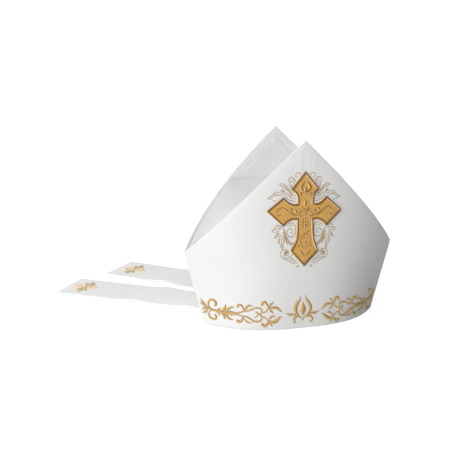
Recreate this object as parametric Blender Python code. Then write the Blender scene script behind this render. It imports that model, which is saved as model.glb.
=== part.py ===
"""A bishop's mitre of white satin, standing open on its rim with its two lappets laid out behind it.

Each piece is modelled in the mitre's own frame: the front panel faces -Y, the rear panel +Y, the side
seams lie in the plane Y = 0 and the rim stands on Z = 0. An empty then carries the whole so that the
origin is the middle of the footprint.
"""

import math

import bmesh
import bpy
import numpy as np
from mathutils import Vector
from mathutils.geometry import delaunay_2d_cdt

# Driving dimensions of the two panels, in metres
BASE_HALF_WIDTH = 0.122
CORNER_HALF_WIDTH = 0.150
CORNER_HEIGHT = 0.100
PEAK_HEIGHT = 0.257
BASE_HALF_DEPTH = 0.058
CORNER_HALF_DEPTH = 0.056
PEAK_HALF_DEPTH = 0.058
PANEL_THICKNESS = 0.0022

# Roundness is the power of the section's curve: 2 is a parabola, and more is squarer
BASE_ROUNDNESS = 2.9
PEAK_ROUNDNESS = 1.9
EDGE_BOW = 0.138  # how far the slanting top edges bow outwards, as a share of their length
SIDE_LEAN = 0.035  # the left side stands this share taller than the middle, the right side as much lower

# Fits and clearances
TOUCHING_GAP = 0.0003
LAPPET_CLEARANCE = 0.0004

# The folded web between the two horns, and the lining inside each horn
WEB_THICKNESS = 0.001
WEB_TOP_DROP = 0.069  # how far below the peaks the web is sewn across
WEB_VALLEY_RISE = 0.018
WEB_EDGE_DROP = 0.002
WEB_SLACK = 1.35  # the power of the web's sag: 1 is a plain V, and more is rounder
WEB_END_SHARE = 0.975
LINING_THICKNESS = 0.001
HEM_WIDTH = 0.010

# The lappets
LAPPET_WIDTH = 0.077
LAPPET_LENGTH = 0.336
LAPPET_THICKNESS = 0.002
LAPPET_SPACING = 0.084
LAPPET_BEND_RADIUS = 0.0015
LAPPET_SPREAD_LENGTH = 0.050  # past the rim, the stretch in which a lappet turns square to its own line

# The cross and the embroidery
CROSS_HALF_SPAN = 0.052
CROSS_UPPER_REACH = 0.054
CROSS_LOWER_REACH = 0.0745
CROSS_MIDDLE_HEIGHT = 0.1615
CROSS_THICKNESS = 0.0025
EMBROIDERY_THICKNESS = 0.001
BAND_HEIGHT = 0.040
BAND_MIDDLE_SHIFT = -0.002
FLEUR_HALF_SPAN = 0.025
STROKE_WIDTH = 0.0022
TIP_MOTIF_LENGTH = 0.042
TIP_MOTIF_WIDTH = 0.050
TIP_MOTIF_INSET = 0.009

# Fineness of the meshes
PANEL_COLUMNS = 32
PANEL_ROWS = 10
WEB_COLUMNS = 26
WEB_ROWS = 10
LINING_COLUMNS = 12
LINING_ROWS = 6
LAPPET_COLUMNS = 6
LAPPET_STEP = 0.011
FACET_LENGTH = 0.009
ARC_SAMPLES = 200

# Colours as the photograph shows them, in linear light
WHITE_SATIN = (0.80, 0.80, 0.79, 1.0)
GREY_LINING = (0.62, 0.62, 0.63, 1.0)
GOLD_SATIN = (0.55, 0.33, 0.09, 1.0)
GOLD_THREAD = (0.50, 0.31, 0.10, 1.0)

FRONT = -1
REAR = 1

# Each lappet: its side, the share of its length that lies on the floor, and its headings past the rim and
# at its tip, in degrees from straight back towards the left
LAPPETS = (
    {"name": "lappet_left", "side": -1, "floor_share": 0.835, "leaving": 51.5, "ending": 49.6},
    {"name": "lappet_right", "side": 1, "floor_share": 0.965, "leaving": 34.5, "ending": 44.9},
)

# The soft ripples of each lappet: middle and half length as shares of the stretch on the floor, and rise
# as a multiple of the lappet's thickness
RIPPLES = {
    "lappet_left": (
        {"middle": 0.53, "reach": 0.09, "rise": 1.5},
        {"middle": 0.24, "reach": 0.08, "rise": 1.2},
    ),
    "lappet_right": (
        {"middle": 0.66, "reach": 0.08, "rise": 1.8},
        {"middle": 0.36, "reach": 0.10, "rise": 1.4},
    ),
}

# The right half of the cross from its top to its foot: across as a share of the half span, and up as a
# share of the reach above or below the arms
CROSS_OUTLINE = (
    {"across": 0.0, "up": 1.0},
    {"across": 0.36, "up": 0.57},
    {"across": 0.26, "up": 0.39},
    {"across": 0.215, "up": 0.29},
    {"across": 0.205, "up": 0.19},
    {"across": 0.31, "up": 0.20},
    {"across": 0.43, "up": 0.26},
    {"across": 0.58, "up": 0.37},
    {"across": 1.0, "up": 0.0},
    {"across": 0.58, "up": -0.27},
    {"across": 0.45, "up": -0.18},
    {"across": 0.32, "up": -0.155},
    {"across": 0.21, "up": -0.155},
    {"across": 0.21, "up": -0.33},
    {"across": 0.235, "up": -0.47},
    {"across": 0.28, "up": -0.57},
    {"across": 0.365, "up": -0.725},
    {"across": 0.0, "up": -1.0},
)

# Widths of a stroke along its length, as (share of the length, share of the full width)
STROKE_PROFILES = {
    "stem": ((0.0, 0.7), (0.5, 0.8), (1.0, 0.5)),
    "leaf": ((0.0, 0.35), (0.45, 1.0), (0.8, 0.65), (1.0, 0.0)),
    "curl": ((0.0, 0.5), (0.7, 1.0), (0.9, 0.9), (1.0, 0.2)),
}

# The vine of the band: along is a share of the way from the middle to the side seam, up a share of the
# band's height, and width a multiple of the stroke width
VINE = (
    {"kind": "stem", "width": 1.6, "path": ((0.94, 0.66), (0.86, 0.60), (0.79, 0.59), (0.71, 0.55))},
    {"kind": "leaf", "width": 1.2, "path": ((0.93, 0.66), (0.96, 0.84), (0.995, 0.97))},
    {"kind": "leaf", "width": 1.6, "path": ((0.93, 0.66), (0.96, 0.74), (0.995, 0.82))},
    {"kind": "leaf", "width": 1.2, "path": ((0.93, 0.66), (0.96, 0.58), (0.99, 0.53))},
    {"kind": "leaf", "width": 1.6, "path": ((0.93, 0.65), (0.96, 0.50), (0.97, 0.42))},
    {"kind": "curl", "width": 1.2,
     "path": ((0.85, 0.62), (0.905, 0.73), (0.905, 0.87), (0.868, 0.97), (0.835, 0.89), (0.845, 0.79))},
    {"kind": "curl", "width": 1.2,
     "path": ((0.86, 0.58), (0.905, 0.48), (0.905, 0.36), (0.868, 0.27), (0.835, 0.34), (0.845, 0.44))},
    {"kind": "leaf", "width": 1.1, "path": ((0.83, 0.60), (0.805, 0.66), (0.78, 0.76))},
    {"kind": "leaf", "width": 1.1, "path": ((0.83, 0.58), (0.805, 0.53), (0.785, 0.43))},
    {"kind": "leaf", "width": 1.6, "path": ((0.79, 0.58), (0.75, 0.68), (0.735, 0.87))},
    {"kind": "leaf", "width": 1.6, "path": ((0.785, 0.58), (0.76, 0.48), (0.745, 0.31))},
    {"kind": "leaf", "width": 1.7, "path": ((0.73, 0.56), (0.71, 0.72), (0.655, 0.79))},
    {"kind": "leaf", "width": 1.7, "path": ((0.73, 0.54), (0.71, 0.38), (0.655, 0.34))},
    {"kind": "leaf", "width": 2.2, "path": ((0.74, 0.55), (0.68, 0.55), (0.62, 0.57))},
    {"kind": "stem", "width": 0.9,
     "path": ((0.67, 0.55), (0.60, 0.62), (0.54, 0.69), (0.47, 0.78), (0.425, 0.77), (0.395, 0.68),
              (0.41, 0.59), (0.455, 0.49))},
    {"kind": "stem", "width": 0.9,
     "path": ((0.67, 0.54), (0.58, 0.48), (0.52, 0.44), (0.47, 0.32), (0.42, 0.31), (0.395, 0.42),
              (0.405, 0.52), (0.45, 0.62))},
    {"kind": "curl", "width": 1.1, "path": ((0.575, 0.66), (0.58, 0.82), (0.605, 0.89), (0.63, 0.80))},
    {"kind": "curl", "width": 1.1, "path": ((0.575, 0.47), (0.58, 0.33), (0.61, 0.27), (0.64, 0.35))},
    {"kind": "leaf", "width": 1.5, "path": ((0.57, 0.66), (0.535, 0.82), (0.475, 0.86))},
    {"kind": "leaf", "width": 1.3, "path": ((0.57, 0.46), (0.54, 0.32), (0.48, 0.25))},
    {"kind": "stem", "width": 1.0, "path": ((0.40, 0.63), (0.36, 0.68), (0.335, 0.79))},
    {"kind": "curl", "width": 1.3, "path": ((0.34, 0.78), (0.345, 0.93), (0.38, 0.96), (0.405, 0.83))},
    {"kind": "leaf", "width": 1.2, "path": ((0.335, 0.78), (0.315, 0.89), (0.285, 1.0))},
    {"kind": "leaf", "width": 1.1, "path": ((0.34, 0.78), (0.31, 0.69), (0.285, 0.58))},
    {"kind": "leaf", "width": 2.0, "path": ((0.345, 0.78), (0.27, 0.76), (0.205, 0.60))},
    {"kind": "stem", "width": 1.0, "path": ((0.40, 0.47), (0.365, 0.45), (0.335, 0.35))},
    {"kind": "curl", "width": 1.3, "path": ((0.34, 0.36), (0.345, 0.20), (0.38, 0.18), (0.41, 0.27))},
    {"kind": "leaf", "width": 1.2, "path": ((0.335, 0.36), (0.32, 0.26), (0.295, 0.14))},
    {"kind": "leaf", "width": 1.1, "path": ((0.34, 0.36), (0.315, 0.47), (0.275, 0.49))},
    {"kind": "leaf", "width": 2.0, "path": ((0.345, 0.35), (0.27, 0.29), (0.21, 0.48))},
)

# The right half of the flower in the middle of the band: across is a share of the flower's half span
FLEUR_SIDE = (
    {"kind": "leaf", "width": 2.2,
     "path": ((0.0, 0.30), (0.26, 0.44), (0.46, 0.66), (0.28, 0.88), (0.18, 1.15))},
    {"kind": "leaf", "width": 1.5, "path": ((0.10, 0.42), (0.50, 0.50), (0.90, 0.55))},
    {"kind": "curl", "width": 2.2, "path": ((0.06, 0.36), (0.38, 0.43), (0.48, 0.32), (0.34, 0.22))},
)
FLEUR_BUD = {"kind": "leaf", "width": 4.2, "path": ((0.0, 0.36), (0.0, 0.60), (0.0, 0.93))}
FLEUR_FOOT = {"kind": "stem", "width": 1.8, "path": ((0.0, 0.27), (0.0, 0.44))}

# One quarter of the small flowered cross near each lappet's tip, as shares of its half length and half width
TIP_MOTIF_QUARTER = (
    {"kind": "leaf", "width": 1.9, "path": ((0.04, 0.04), (0.45, 0.13), (1.0, 0.01))},
    {"kind": "leaf", "width": 1.9, "path": ((0.04, 0.04), (0.18, 0.42), (0.01, 1.0))},
    {"kind": "curl", "width": 1.6, "path": ((0.30, 0.12), (0.60, 0.34), (0.82, 0.30))},
    {"kind": "curl", "width": 1.6, "path": ((0.14, 0.30), (0.42, 0.52), (0.40, 0.76))},
)


def clear_scene():
    """Remove whatever objects the scene holds."""
    for old in list(bpy.data.objects):
        bpy.data.objects.remove(old, do_unlink=True)


# Sections of the shell

def half_width(height):
    """Half the shell's width at a height; it widens evenly from the rim up."""
    return BASE_HALF_WIDTH + (CORNER_HALF_WIDTH - BASE_HALF_WIDTH) * height / CORNER_HEIGHT


def half_depth(height):
    """Half the shell's depth at a height, a parabola through the rim, the corners and the peaks."""
    low, middle, high = 0.0, CORNER_HEIGHT, PEAK_HEIGHT
    at_low = (height - middle) * (height - high) / ((low - middle) * (low - high))
    at_middle = (height - low) * (height - high) / ((middle - low) * (middle - high))
    at_high = (height - low) * (height - middle) / ((high - low) * (high - middle))
    return BASE_HALF_DEPTH * at_low + CORNER_HALF_DEPTH * at_middle + PEAK_HALF_DEPTH * at_high


def roundness(height):
    """The power of the section's curve at a height."""
    return BASE_ROUNDNESS + (PEAK_ROUNDNESS - BASE_ROUNDNESS) * height / PEAK_HEIGHT


def shell_point(side, share, height, offset):
    """A point of the front or rear wall: share runs from -1 at the left seam to 1 at the right seam, and
    offset is the distance outwards from the middle of the wall."""
    width = half_width(height)
    depth = half_depth(height)
    power = roundness(height)
    offset_width = width + offset * math.sqrt(1 + (width / (power * depth)) ** 2)
    seam = TOUCHING_GAP / 2
    bulge = (depth + offset - seam) * (1 - abs(share) ** power)
    return Vector((share * offset_width, side * (seam + bulge), height * (1 - SIDE_LEAN * share)))


def share_on_arc(distance, height):
    """The share of the half width that lies a distance from the middle, measured along the cloth."""
    width = half_width(height)
    depth = half_depth(height)
    power = roundness(height)
    shares = np.linspace(0, 1, ARC_SAMPLES)
    slopes = np.hypot(width, power * depth * shares ** (power - 1))
    steps = (slopes[1:] + slopes[:-1]) / 2 * np.diff(shares)
    arc = np.concatenate([[0.0], np.cumsum(steps)])
    return math.copysign(float(np.interp(abs(distance), arc, shares)), distance)


def half_arc(height):
    """The cloth's length from the middle to a side seam at a height."""
    width = half_width(height)
    depth = half_depth(height)
    power = roundness(height)
    shares = np.linspace(0, 1, ARC_SAMPLES)
    slopes = np.hypot(width, power * depth * shares ** (power - 1))
    return float(((slopes[1:] + slopes[:-1]) / 2 * np.diff(shares)).sum())


def top_edge_height(share):
    """Height of a panel's slanting top edge at a share of the half width, before the lean."""
    widening = (CORNER_HALF_WIDTH - BASE_HALF_WIDTH) / CORNER_HEIGHT
    rise = PEAK_HEIGHT - CORNER_HEIGHT
    square = EDGE_BOW * CORNER_HALF_WIDTH
    linear = (1 - EDGE_BOW) * CORNER_HALF_WIDTH + abs(share) * widening * rise
    constant = -(1 - abs(share)) * CORNER_HALF_WIDTH
    climb = (-linear + math.sqrt(linear ** 2 - 4 * square * constant)) / (2 * square)
    return CORNER_HEIGHT + rise * climb


def front_point(distance, height, offset):
    """A point on the front panel's outer side, distance along the cloth from the middle."""
    return shell_point(FRONT, share_on_arc(distance, height), height, PANEL_THICKNESS / 2 + offset)


def column_shares(count, end_share=1.0):
    """Shares of the half width that space count columns evenly along the cloth."""
    middle_height = CORNER_HEIGHT / 2
    reach = half_arc(middle_height)
    even = [share_on_arc(reach * (2 * i / count - 1), middle_height) for i in range(count + 1)]
    even[0], even[-1] = -1.0, 1.0
    return [share * end_share for share in even]


def smooth_step(value):
    """Rise smoothly from 0 to 1 as value does."""
    value = min(max(value, 0.0), 1.0)
    return value * value * (3 - 2 * value)


# Meshes and materials

def satin(name, colour, roughness_value, sheen=0.0):
    """A Principled material."""
    material = bpy.data.materials.new(name)
    material.use_nodes = True
    shader = material.node_tree.nodes["Principled BSDF"]
    shader.inputs["Base Color"].default_value = colour
    shader.inputs["Roughness"].default_value = roughness_value
    shader.inputs["Metallic"].default_value = 0.0
    shader.inputs["Sheen Weight"].default_value = sheen
    material.diffuse_color = colour
    return material


def add_object(name, mesh_builder, material, parent):
    """Close the built mesh, shade it and put it in the scene under its parent."""
    bmesh.ops.recalc_face_normals(mesh_builder, faces=mesh_builder.faces)
    mesh = bpy.data.meshes.new(name)
    mesh_builder.to_mesh(mesh)
    mesh_builder.free()
    mesh.materials.append(material)
    mesh.shade_smooth()
    mesh.set_sharp_from_angle(angle=math.radians(40))
    piece = bpy.data.objects.new(name, mesh)
    bpy.context.scene.collection.objects.link(piece)
    piece.parent = parent
    return piece


def wall_between(outer, inner):
    """A closed wall between two grids of points of the same size."""
    builder = bmesh.new()
    rows = len(outer)
    columns = len(outer[0])
    skins = []
    for grid in (outer, inner):
        skins.append([[builder.verts.new(point) for point in row] for row in grid])
    top, bottom = skins
    for i in range(rows - 1):
        for j in range(columns - 1):
            builder.faces.new((top[i][j], top[i][j + 1], top[i + 1][j + 1], top[i + 1][j]))
            builder.faces.new((bottom[i][j], bottom[i + 1][j], bottom[i + 1][j + 1], bottom[i][j + 1]))
    border = [(0, j) for j in range(columns)]
    border += [(i, columns - 1) for i in range(1, rows)]
    border += [(rows - 1, j) for j in range(columns - 2, -1, -1)]
    border += [(i, 0) for i in range(rows - 2, 0, -1)]
    for here, there in zip(border, border[1:] + border[:1]):
        (i, j), (k, m) = here, there
        builder.faces.new((top[i][j], bottom[i][j], bottom[k][m], top[k][m]))
    bmesh.ops.triangulate(builder, faces=builder.faces)
    return builder


def cloth_wall(middle, thickness):
    """A closed wall of even thickness about a grid of points."""
    grid = np.array([[tuple(point) for point in row] for row in middle])
    down = np.gradient(grid, axis=0)
    across = np.gradient(grid, axis=1)
    normals = np.cross(across, down)
    normals /= np.linalg.norm(normals, axis=2, keepdims=True)
    return wall_between(grid + normals * thickness / 2, grid - normals * thickness / 2)


# Flat ornament, drawn as strokes and then laid on the cloth

def smooth_path(points, samples):
    """Points of a smooth curve through a few given ones."""
    points = [np.array(point, float) for point in points]
    if len(points) == 2:
        points = [points[0], (points[0] + points[1]) / 2, points[1]]
    ends = [2 * points[0] - points[1]] + points + [2 * points[-1] - points[-2]]
    curve = []
    spans = len(points) - 1
    for k in range(samples + 1):
        along = min(k / samples * spans, spans - 1e-9)
        i = int(along)
        t = along - i
        a, b, c, d = ends[i:i + 4]
        curve.append(0.5 * (2 * b + (c - a) * t + (2 * a - 5 * b + 4 * c - d) * t * t
                            + (3 * b - a - 3 * c + d) * t ** 3))
    return np.array(curve)


def stroke_outline(stroke, across_size, up_size):
    """The flat outline of one stroke."""
    path = [(across * across_size, up * up_size) for across, up in stroke["path"]]
    samples = 2 * (len(path) - 1)
    curve = smooth_path(path, samples)
    shares, widths = zip(*STROKE_PROFILES[stroke["kind"]])
    along = np.gradient(curve, axis=0)
    along /= np.linalg.norm(along, axis=1, keepdims=True)
    sideways = np.stack([-along[:, 1], along[:, 0]], axis=1)
    width = np.interp(np.linspace(0, 1, samples + 1), shares, widths) * stroke["width"] * STROKE_WIDTH / 2
    left = curve + sideways * width[:, None]
    right = curve - sideways * width[:, None]
    if width[-1] == 0:
        return [tuple(p) for p in left] + [tuple(p) for p in right[-2::-1]]
    return [tuple(p) for p in left] + [tuple(p) for p in right[::-1]]


def mirrored(outlines, across, up=1):
    """The same outlines, mirrored."""
    return [[(x * across, y * up) for x, y in outline] for outline in outlines]


def anticlockwise(outline):
    """The outline's points in anticlockwise order."""
    after = outline[1:] + outline[:1]
    area = sum(x * later_y - later_x * y for (x, y), (later_x, later_y) in zip(outline, after))
    return outline if area > 0 else outline[::-1]


def flat_union(outlines, grid_step=0.0):
    """Corner points and triangles of the joined area of several flat outlines."""
    points = []
    faces = []
    for outline in outlines:
        faces.append(list(range(len(points), len(points) + len(outline))))
        points += [Vector(point) for point in anticlockwise(outline)]
    if grid_step:
        low = np.min(points, axis=0)
        high = np.max(points, axis=0)
        counts = np.ceil((high - low) / grid_step).astype(int)
        for i in range(1, counts[0]):
            for j in range(1, counts[1]):
                points.append(Vector(low + (high - low) * (i / counts[0], j / counts[1])))
    result = delaunay_2d_cdt(points, [], faces, 1, 1e-6)
    corners, triangles, sources = result[0], result[2], result[5]
    return corners, [triangle for triangle, source in zip(triangles, sources) if source]


def laid_applique(flat, lay, thickness):
    """A closed flat solid on a surface: lay gives the place of a flat point at a height above the cloth."""
    corners, triangles = flat
    builder = bmesh.new()
    used = sorted({index for triangle in triangles for index in triangle})
    bottom = {i: builder.verts.new(lay(corners[i][0], corners[i][1], TOUCHING_GAP)) for i in used}
    top = {i: builder.verts.new(lay(corners[i][0], corners[i][1], TOUCHING_GAP + thickness)) for i in used}
    edge_uses = {}
    for a, b, c in triangles:
        builder.faces.new((top[a], top[b], top[c]))
        builder.faces.new((bottom[a], bottom[c], bottom[b]))
        for pair in ((a, b), (b, c), (c, a)):
            edge_uses.setdefault(frozenset(pair), []).append(pair)
    for uses in edge_uses.values():
        if len(uses) == 1:
            a, b = uses[0]
            builder.faces.new((top[b], top[a], bottom[a], bottom[b]))
    bmesh.ops.triangulate(builder, faces=builder.faces)
    return builder


# The two panels

def rear_rim_height(share):
    """The rear rim is lifted where it lies over the lappets."""
    lift = LAPPET_THICKNESS + LAPPET_CLEARANCE + TOUCHING_GAP / 2
    over = (LAPPET_SPACING / 2 + LAPPET_WIDTH / 2) / BASE_HALF_WIDTH + 0.04
    fade = max(min(1 - over, 0.2), 0.02)
    return lift * (1 - smooth_step((abs(share) - over) / fade))


def build_panel(side, material, parent):
    """The front or the rear panel, from the rim to its peak."""
    name = "front_panel" if side == FRONT else "rear_panel"
    shares = column_shares(PANEL_COLUMNS)
    skins = []
    for offset in (PANEL_THICKNESS / 2, -PANEL_THICKNESS / 2):
        rows = []
        for i in range(PANEL_ROWS + 1):
            row = []
            for share in shares:
                rim = rear_rim_height(share) if side == REAR else 0.0
                height = rim + (top_edge_height(share) - rim) * i / PANEL_ROWS
                row.append(shell_point(side, share, height, offset))
            rows.append(row)
        skins.append(rows)
    return add_object(name, wall_between(*skins), material, parent)


# The web and the linings

def build_web(material, parent):
    """The folded cloth between the horns: it hangs from their edges and dips to a valley between them."""
    inset = PANEL_THICKNESS / 2 + TOUCHING_GAP + WEB_THICKNESS / 2 + TOUCHING_GAP / 2
    rows = []
    for share in column_shares(WEB_COLUMNS, WEB_END_SHARE):
        height = min(top_edge_height(share), PEAK_HEIGHT - WEB_TOP_DROP) - WEB_EDGE_DROP
        hung = shell_point(REAR, share, height, -inset)
        bow = 1 - (hung.x / CORNER_HALF_WIDTH) ** 2
        valley = (CORNER_HEIGHT + WEB_VALLEY_RISE * bow) * (1 - SIDE_LEAN * share)
        row = []
        for j in range(WEB_ROWS + 1):
            across = 2 * j / WEB_ROWS - 1
            fall = abs(across) ** WEB_SLACK
            row.append(Vector((hung.x, across * hung.y, valley + (hung.z - valley) * fall)))
        rows.append(row)
    return add_object("gusset_web", cloth_wall(rows, WEB_THICKNESS), material, parent)


def build_lining(side, material, parent):
    """The lining of a horn's inner face, between the web and the turned hem of the top edges."""
    name = "lining_front" if side == FRONT else "lining_rear"
    slope = (PEAK_HEIGHT - CORNER_HEIGHT) / CORNER_HALF_WIDTH
    hem_height = HEM_WIDTH * math.hypot(1, slope)
    foot = PEAK_HEIGHT - WEB_TOP_DROP + TOUCHING_GAP
    least = 2 * LINING_THICKNESS
    end_share = max(s for s in np.linspace(0, 1, ARC_SAMPLES)
                    if top_edge_height(s) - hem_height > foot + least)
    middle = -(PANEL_THICKNESS / 2 + TOUCHING_GAP + LINING_THICKNESS / 2)
    skins = []
    for offset in (middle + LINING_THICKNESS / 2, middle - LINING_THICKNESS / 2):
        rows = []
        for i in range(LINING_ROWS + 1):
            row = []
            for j in range(LINING_COLUMNS + 1):
                share = end_share * (2 * j / LINING_COLUMNS - 1)
                top = top_edge_height(share) - hem_height
                row.append(shell_point(side, share, foot + (top - foot) * i / LINING_ROWS, offset))
            rows.append(row)
        skins.append(rows)
    return add_object(name, wall_between(*skins), material, parent)


# The lappets

def inside_rear_wall(x, z):
    """The middle of a lappet that lies against the rear panel's inner face, at a place across and up."""
    offset = -(PANEL_THICKNESS / 2 + LAPPET_CLEARANCE + LAPPET_THICKNESS / 2)
    width = shell_point(REAR, 1.0, z, offset).x
    share = x / width
    point = shell_point(REAR, share, z / (1 - SIDE_LEAN * share), offset)
    return Vector((x, point.y, z))


class LappetLine:
    """The line that a lappet's middle follows on the floor, and its cross lines."""

    def __init__(self, lappet):
        self.head_x = lappet["side"] * LAPPET_SPACING / 2
        self.floor_length = LAPPET_LENGTH * lappet["floor_share"]
        self.under_rim = PANEL_THICKNESS + 2 * LAPPET_CLEARANCE + LAPPET_THICKNESS / 2
        stations = np.linspace(0, self.floor_length, ARC_SAMPLES)
        turn = math.radians(lappet["leaving"]) + np.radians(lappet["ending"] - lappet["leaving"]) * (
            stations / self.floor_length)
        heading = np.where(stations < self.under_rim, 0.0, turn)
        step = stations[1]
        start = inside_rear_wall(self.head_x, LAPPET_THICKNESS / 2)
        self.x = start.x + np.concatenate([[0], np.cumsum(-np.sin(heading[:-1]) * step)])
        self.y = start.y + LAPPET_BEND_RADIUS + np.concatenate([[0], np.cumsum(np.cos(heading[:-1]) * step)])
        self.turn = turn
        self.stations = stations
        self.ripples = RIPPLES[lappet["name"]]

    def head_line(self, across):
        """Where the lappet comes down the inner face, relative to the middle of that line."""
        middle = inside_rear_wall(self.head_x, LAPPET_THICKNESS / 2)
        point = inside_rear_wall(self.head_x + across, LAPPET_THICKNESS / 2)
        return point.x - middle.x, point.y - middle.y

    def ripple(self, station):
        """How far a soft fold lifts the lappet off the floor."""
        lift = 0.0
        for fold in self.ripples:
            away = abs(station / self.floor_length - fold["middle"]) / fold["reach"]
            if away < 1:
                lift += fold["rise"] * LAPPET_THICKNESS * (0.5 + 0.5 * math.cos(math.pi * away))
        return lift

    def floor_point(self, station, across, above=0.0):
        """A point of the stretch on the floor."""
        x = float(np.interp(station, self.stations, self.x))
        y = float(np.interp(station, self.stations, self.y))
        turn = float(np.interp(station, self.stations, self.turn))
        spread = smooth_step((station - self.under_rim) / LAPPET_SPREAD_LENGTH)
        head_x, head_y = self.head_line(across)
        x += (1 - spread) * head_x + spread * across * math.cos(turn)
        y += (1 - spread) * head_y + spread * across * math.sin(turn)
        return Vector((x, y, LAPPET_THICKNESS / 2 + self.ripple(station) + above))


def build_lappet(lappet, material, parent):
    """A lappet: its head against the inside of the rear panel, a bend under the rim, and the long flat
    stretch on the floor."""
    line = LappetLine(lappet)
    offsets = [LAPPET_WIDTH * (j / LAPPET_COLUMNS - 0.5) for j in range(LAPPET_COLUMNS + 1)]
    tuck = LAPPET_LENGTH - line.floor_length
    foot = LAPPET_THICKNESS / 2 + LAPPET_BEND_RADIUS
    rows = []
    tuck_steps = max(2, round((tuck - foot) / LAPPET_STEP))
    for i in range(tuck_steps):
        height = tuck + (foot - tuck) * i / tuck_steps
        rows.append([inside_rear_wall(line.head_x + across, height) for across in offsets])
    for quarter in (0.0, 1 / 3, 2 / 3):
        angle = quarter * math.pi / 2
        out = LAPPET_BEND_RADIUS * (1 - math.cos(angle))
        height = foot - LAPPET_BEND_RADIUS * math.sin(angle)
        row = []
        for across in offsets:
            point = inside_rear_wall(line.head_x + across, foot)
            row.append(Vector((point.x, point.y + out, height)))
        rows.append(row)
    stretch = line.floor_length - line.under_rim
    steps = round(stretch / LAPPET_STEP)
    stations = [0.0] + [line.under_rim + stretch * i / steps for i in range(steps + 1)]
    rows += [[line.floor_point(station, across) for across in offsets] for station in stations]
    return add_object(lappet["name"], cloth_wall(rows, LAPPET_THICKNESS), material, parent)


def build_tip_motif(lappet, material, parent):
    """The gold motif on the upper side of a lappet, near its tip."""
    line = LappetLine(lappet)
    middle = line.floor_length - TIP_MOTIF_INSET - TIP_MOTIF_LENGTH / 2
    quarter = [stroke_outline(stroke, TIP_MOTIF_LENGTH / 2, TIP_MOTIF_WIDTH / 2)
               for stroke in TIP_MOTIF_QUARTER]
    whole = quarter + mirrored(quarter, -1) + mirrored(quarter, 1, -1) + mirrored(quarter, -1, -1)
    boss = STROKE_WIDTH
    whole.append([(boss, 0), (0, boss), (-boss, 0), (0, -boss)])

    def lay(along, across, above):
        return line.floor_point(middle + along, across, LAPPET_THICKNESS / 2 + above)

    name = lappet["name"].replace("lappet", "tip_motif")
    return add_object(name, laid_applique(flat_union(whole), lay, EMBROIDERY_THICKNESS), material, parent)


# The cross and the embroidered band

def build_cross(material, parent):
    """The padded satin cross on the front panel."""
    right = []
    for corner in CROSS_OUTLINE:
        reach = CROSS_UPPER_REACH if corner["up"] > 0 else CROSS_LOWER_REACH
        right.append((corner["across"] * CROSS_HALF_SPAN, corner["up"] * reach))
    outline = right[::-1] + [(-x, y) for x, y in right[1:-1]]

    def lay(across, up, above):
        return front_point(across, CROSS_MIDDLE_HEIGHT + up, above)

    flat = flat_union([outline], FACET_LENGTH)
    return add_object("cross_applique", laid_applique(flat, lay, CROSS_THICKNESS), material, parent)


def lay_on_band(across, up, above):
    """A flat point of the band, laid on the front panel."""
    return front_point(across + BAND_MIDDLE_SHIFT, up, above)


def build_vine(side, material, parent):
    """One half of the embroidered vine, between the middle flower and a side seam."""
    reach = half_arc(BAND_HEIGHT / 2) - abs(BAND_MIDDLE_SHIFT)
    outlines = [stroke_outline(stroke, reach, BAND_HEIGHT) for stroke in VINE]
    if side < 0:
        outlines = mirrored(outlines, -1)
    name = "vine_left" if side < 0 else "vine_right"
    solid = laid_applique(flat_union(outlines), lay_on_band, EMBROIDERY_THICKNESS)
    return add_object(name, solid, material, parent)


def build_fleur(material, parent):
    """The embroidered flower in the middle of the band."""
    side = [stroke_outline(stroke, FLEUR_HALF_SPAN, BAND_HEIGHT) for stroke in FLEUR_SIDE]
    middle = [stroke_outline(stroke, FLEUR_HALF_SPAN, BAND_HEIGHT) for stroke in (FLEUR_BUD, FLEUR_FOOT)]
    flat = flat_union(side + mirrored(side, -1) + middle)
    return add_object("band_fleur", laid_applique(flat, lay_on_band, EMBROIDERY_THICKNESS), material, parent)


def stand_on_footprint(carrier, pieces):
    """Move the carrying empty so that the middle of the footprint is the origin."""
    corners = np.array([vertex.co for piece in pieces for vertex in piece.data.vertices])
    middle = (corners.min(axis=0) + corners.max(axis=0)) / 2
    carrier.location = (-middle[0], -middle[1], -corners[:, 2].min())


def main():
    """Build the mitre."""
    clear_scene()
    white = satin("white_satin", WHITE_SATIN, 0.45, 0.3)
    lining = satin("grey_lining", GREY_LINING, 0.7)
    gold = satin("gold_satin", GOLD_SATIN, 0.4, 0.2)
    thread = satin("gold_thread", GOLD_THREAD, 0.45)
    carrier = bpy.data.objects.new("mitre", None)
    bpy.context.scene.collection.objects.link(carrier)

    pieces = [
        build_panel(FRONT, white, carrier),
        build_panel(REAR, white.copy(), carrier),
        build_web(lining, carrier),
        build_lining(FRONT, lining.copy(), carrier),
        build_lining(REAR, lining.copy(), carrier),
        build_cross(gold, carrier),
        build_fleur(thread, carrier),
        build_vine(-1, thread.copy(), carrier),
        build_vine(1, thread.copy(), carrier),
    ]
    for lappet in LAPPETS:
        pieces.append(build_lappet(lappet, white.copy(), carrier))
        pieces.append(build_tip_motif(lappet, thread.copy(), carrier))
    stand_on_footprint(carrier, pieces)


main()
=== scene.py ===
"""The looks of a bishop's mitre: white satin over stiff panels, gold embroidery and a padded satin cross.

Everything is in metres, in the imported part's frame. The mitre's panels follow one shell formula, and all
the ornament is drawn flat, in millimetres along the cloth, and then laid on that shell or on a lappet.
"""

import logging
import math
from collections.abc import Callable, Sequence
from dataclasses import dataclass, replace
from enum import Enum

import bmesh
import bpy
import numpy as np
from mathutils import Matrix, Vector
from mathutils.geometry import delaunay_2d_cdt


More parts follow.
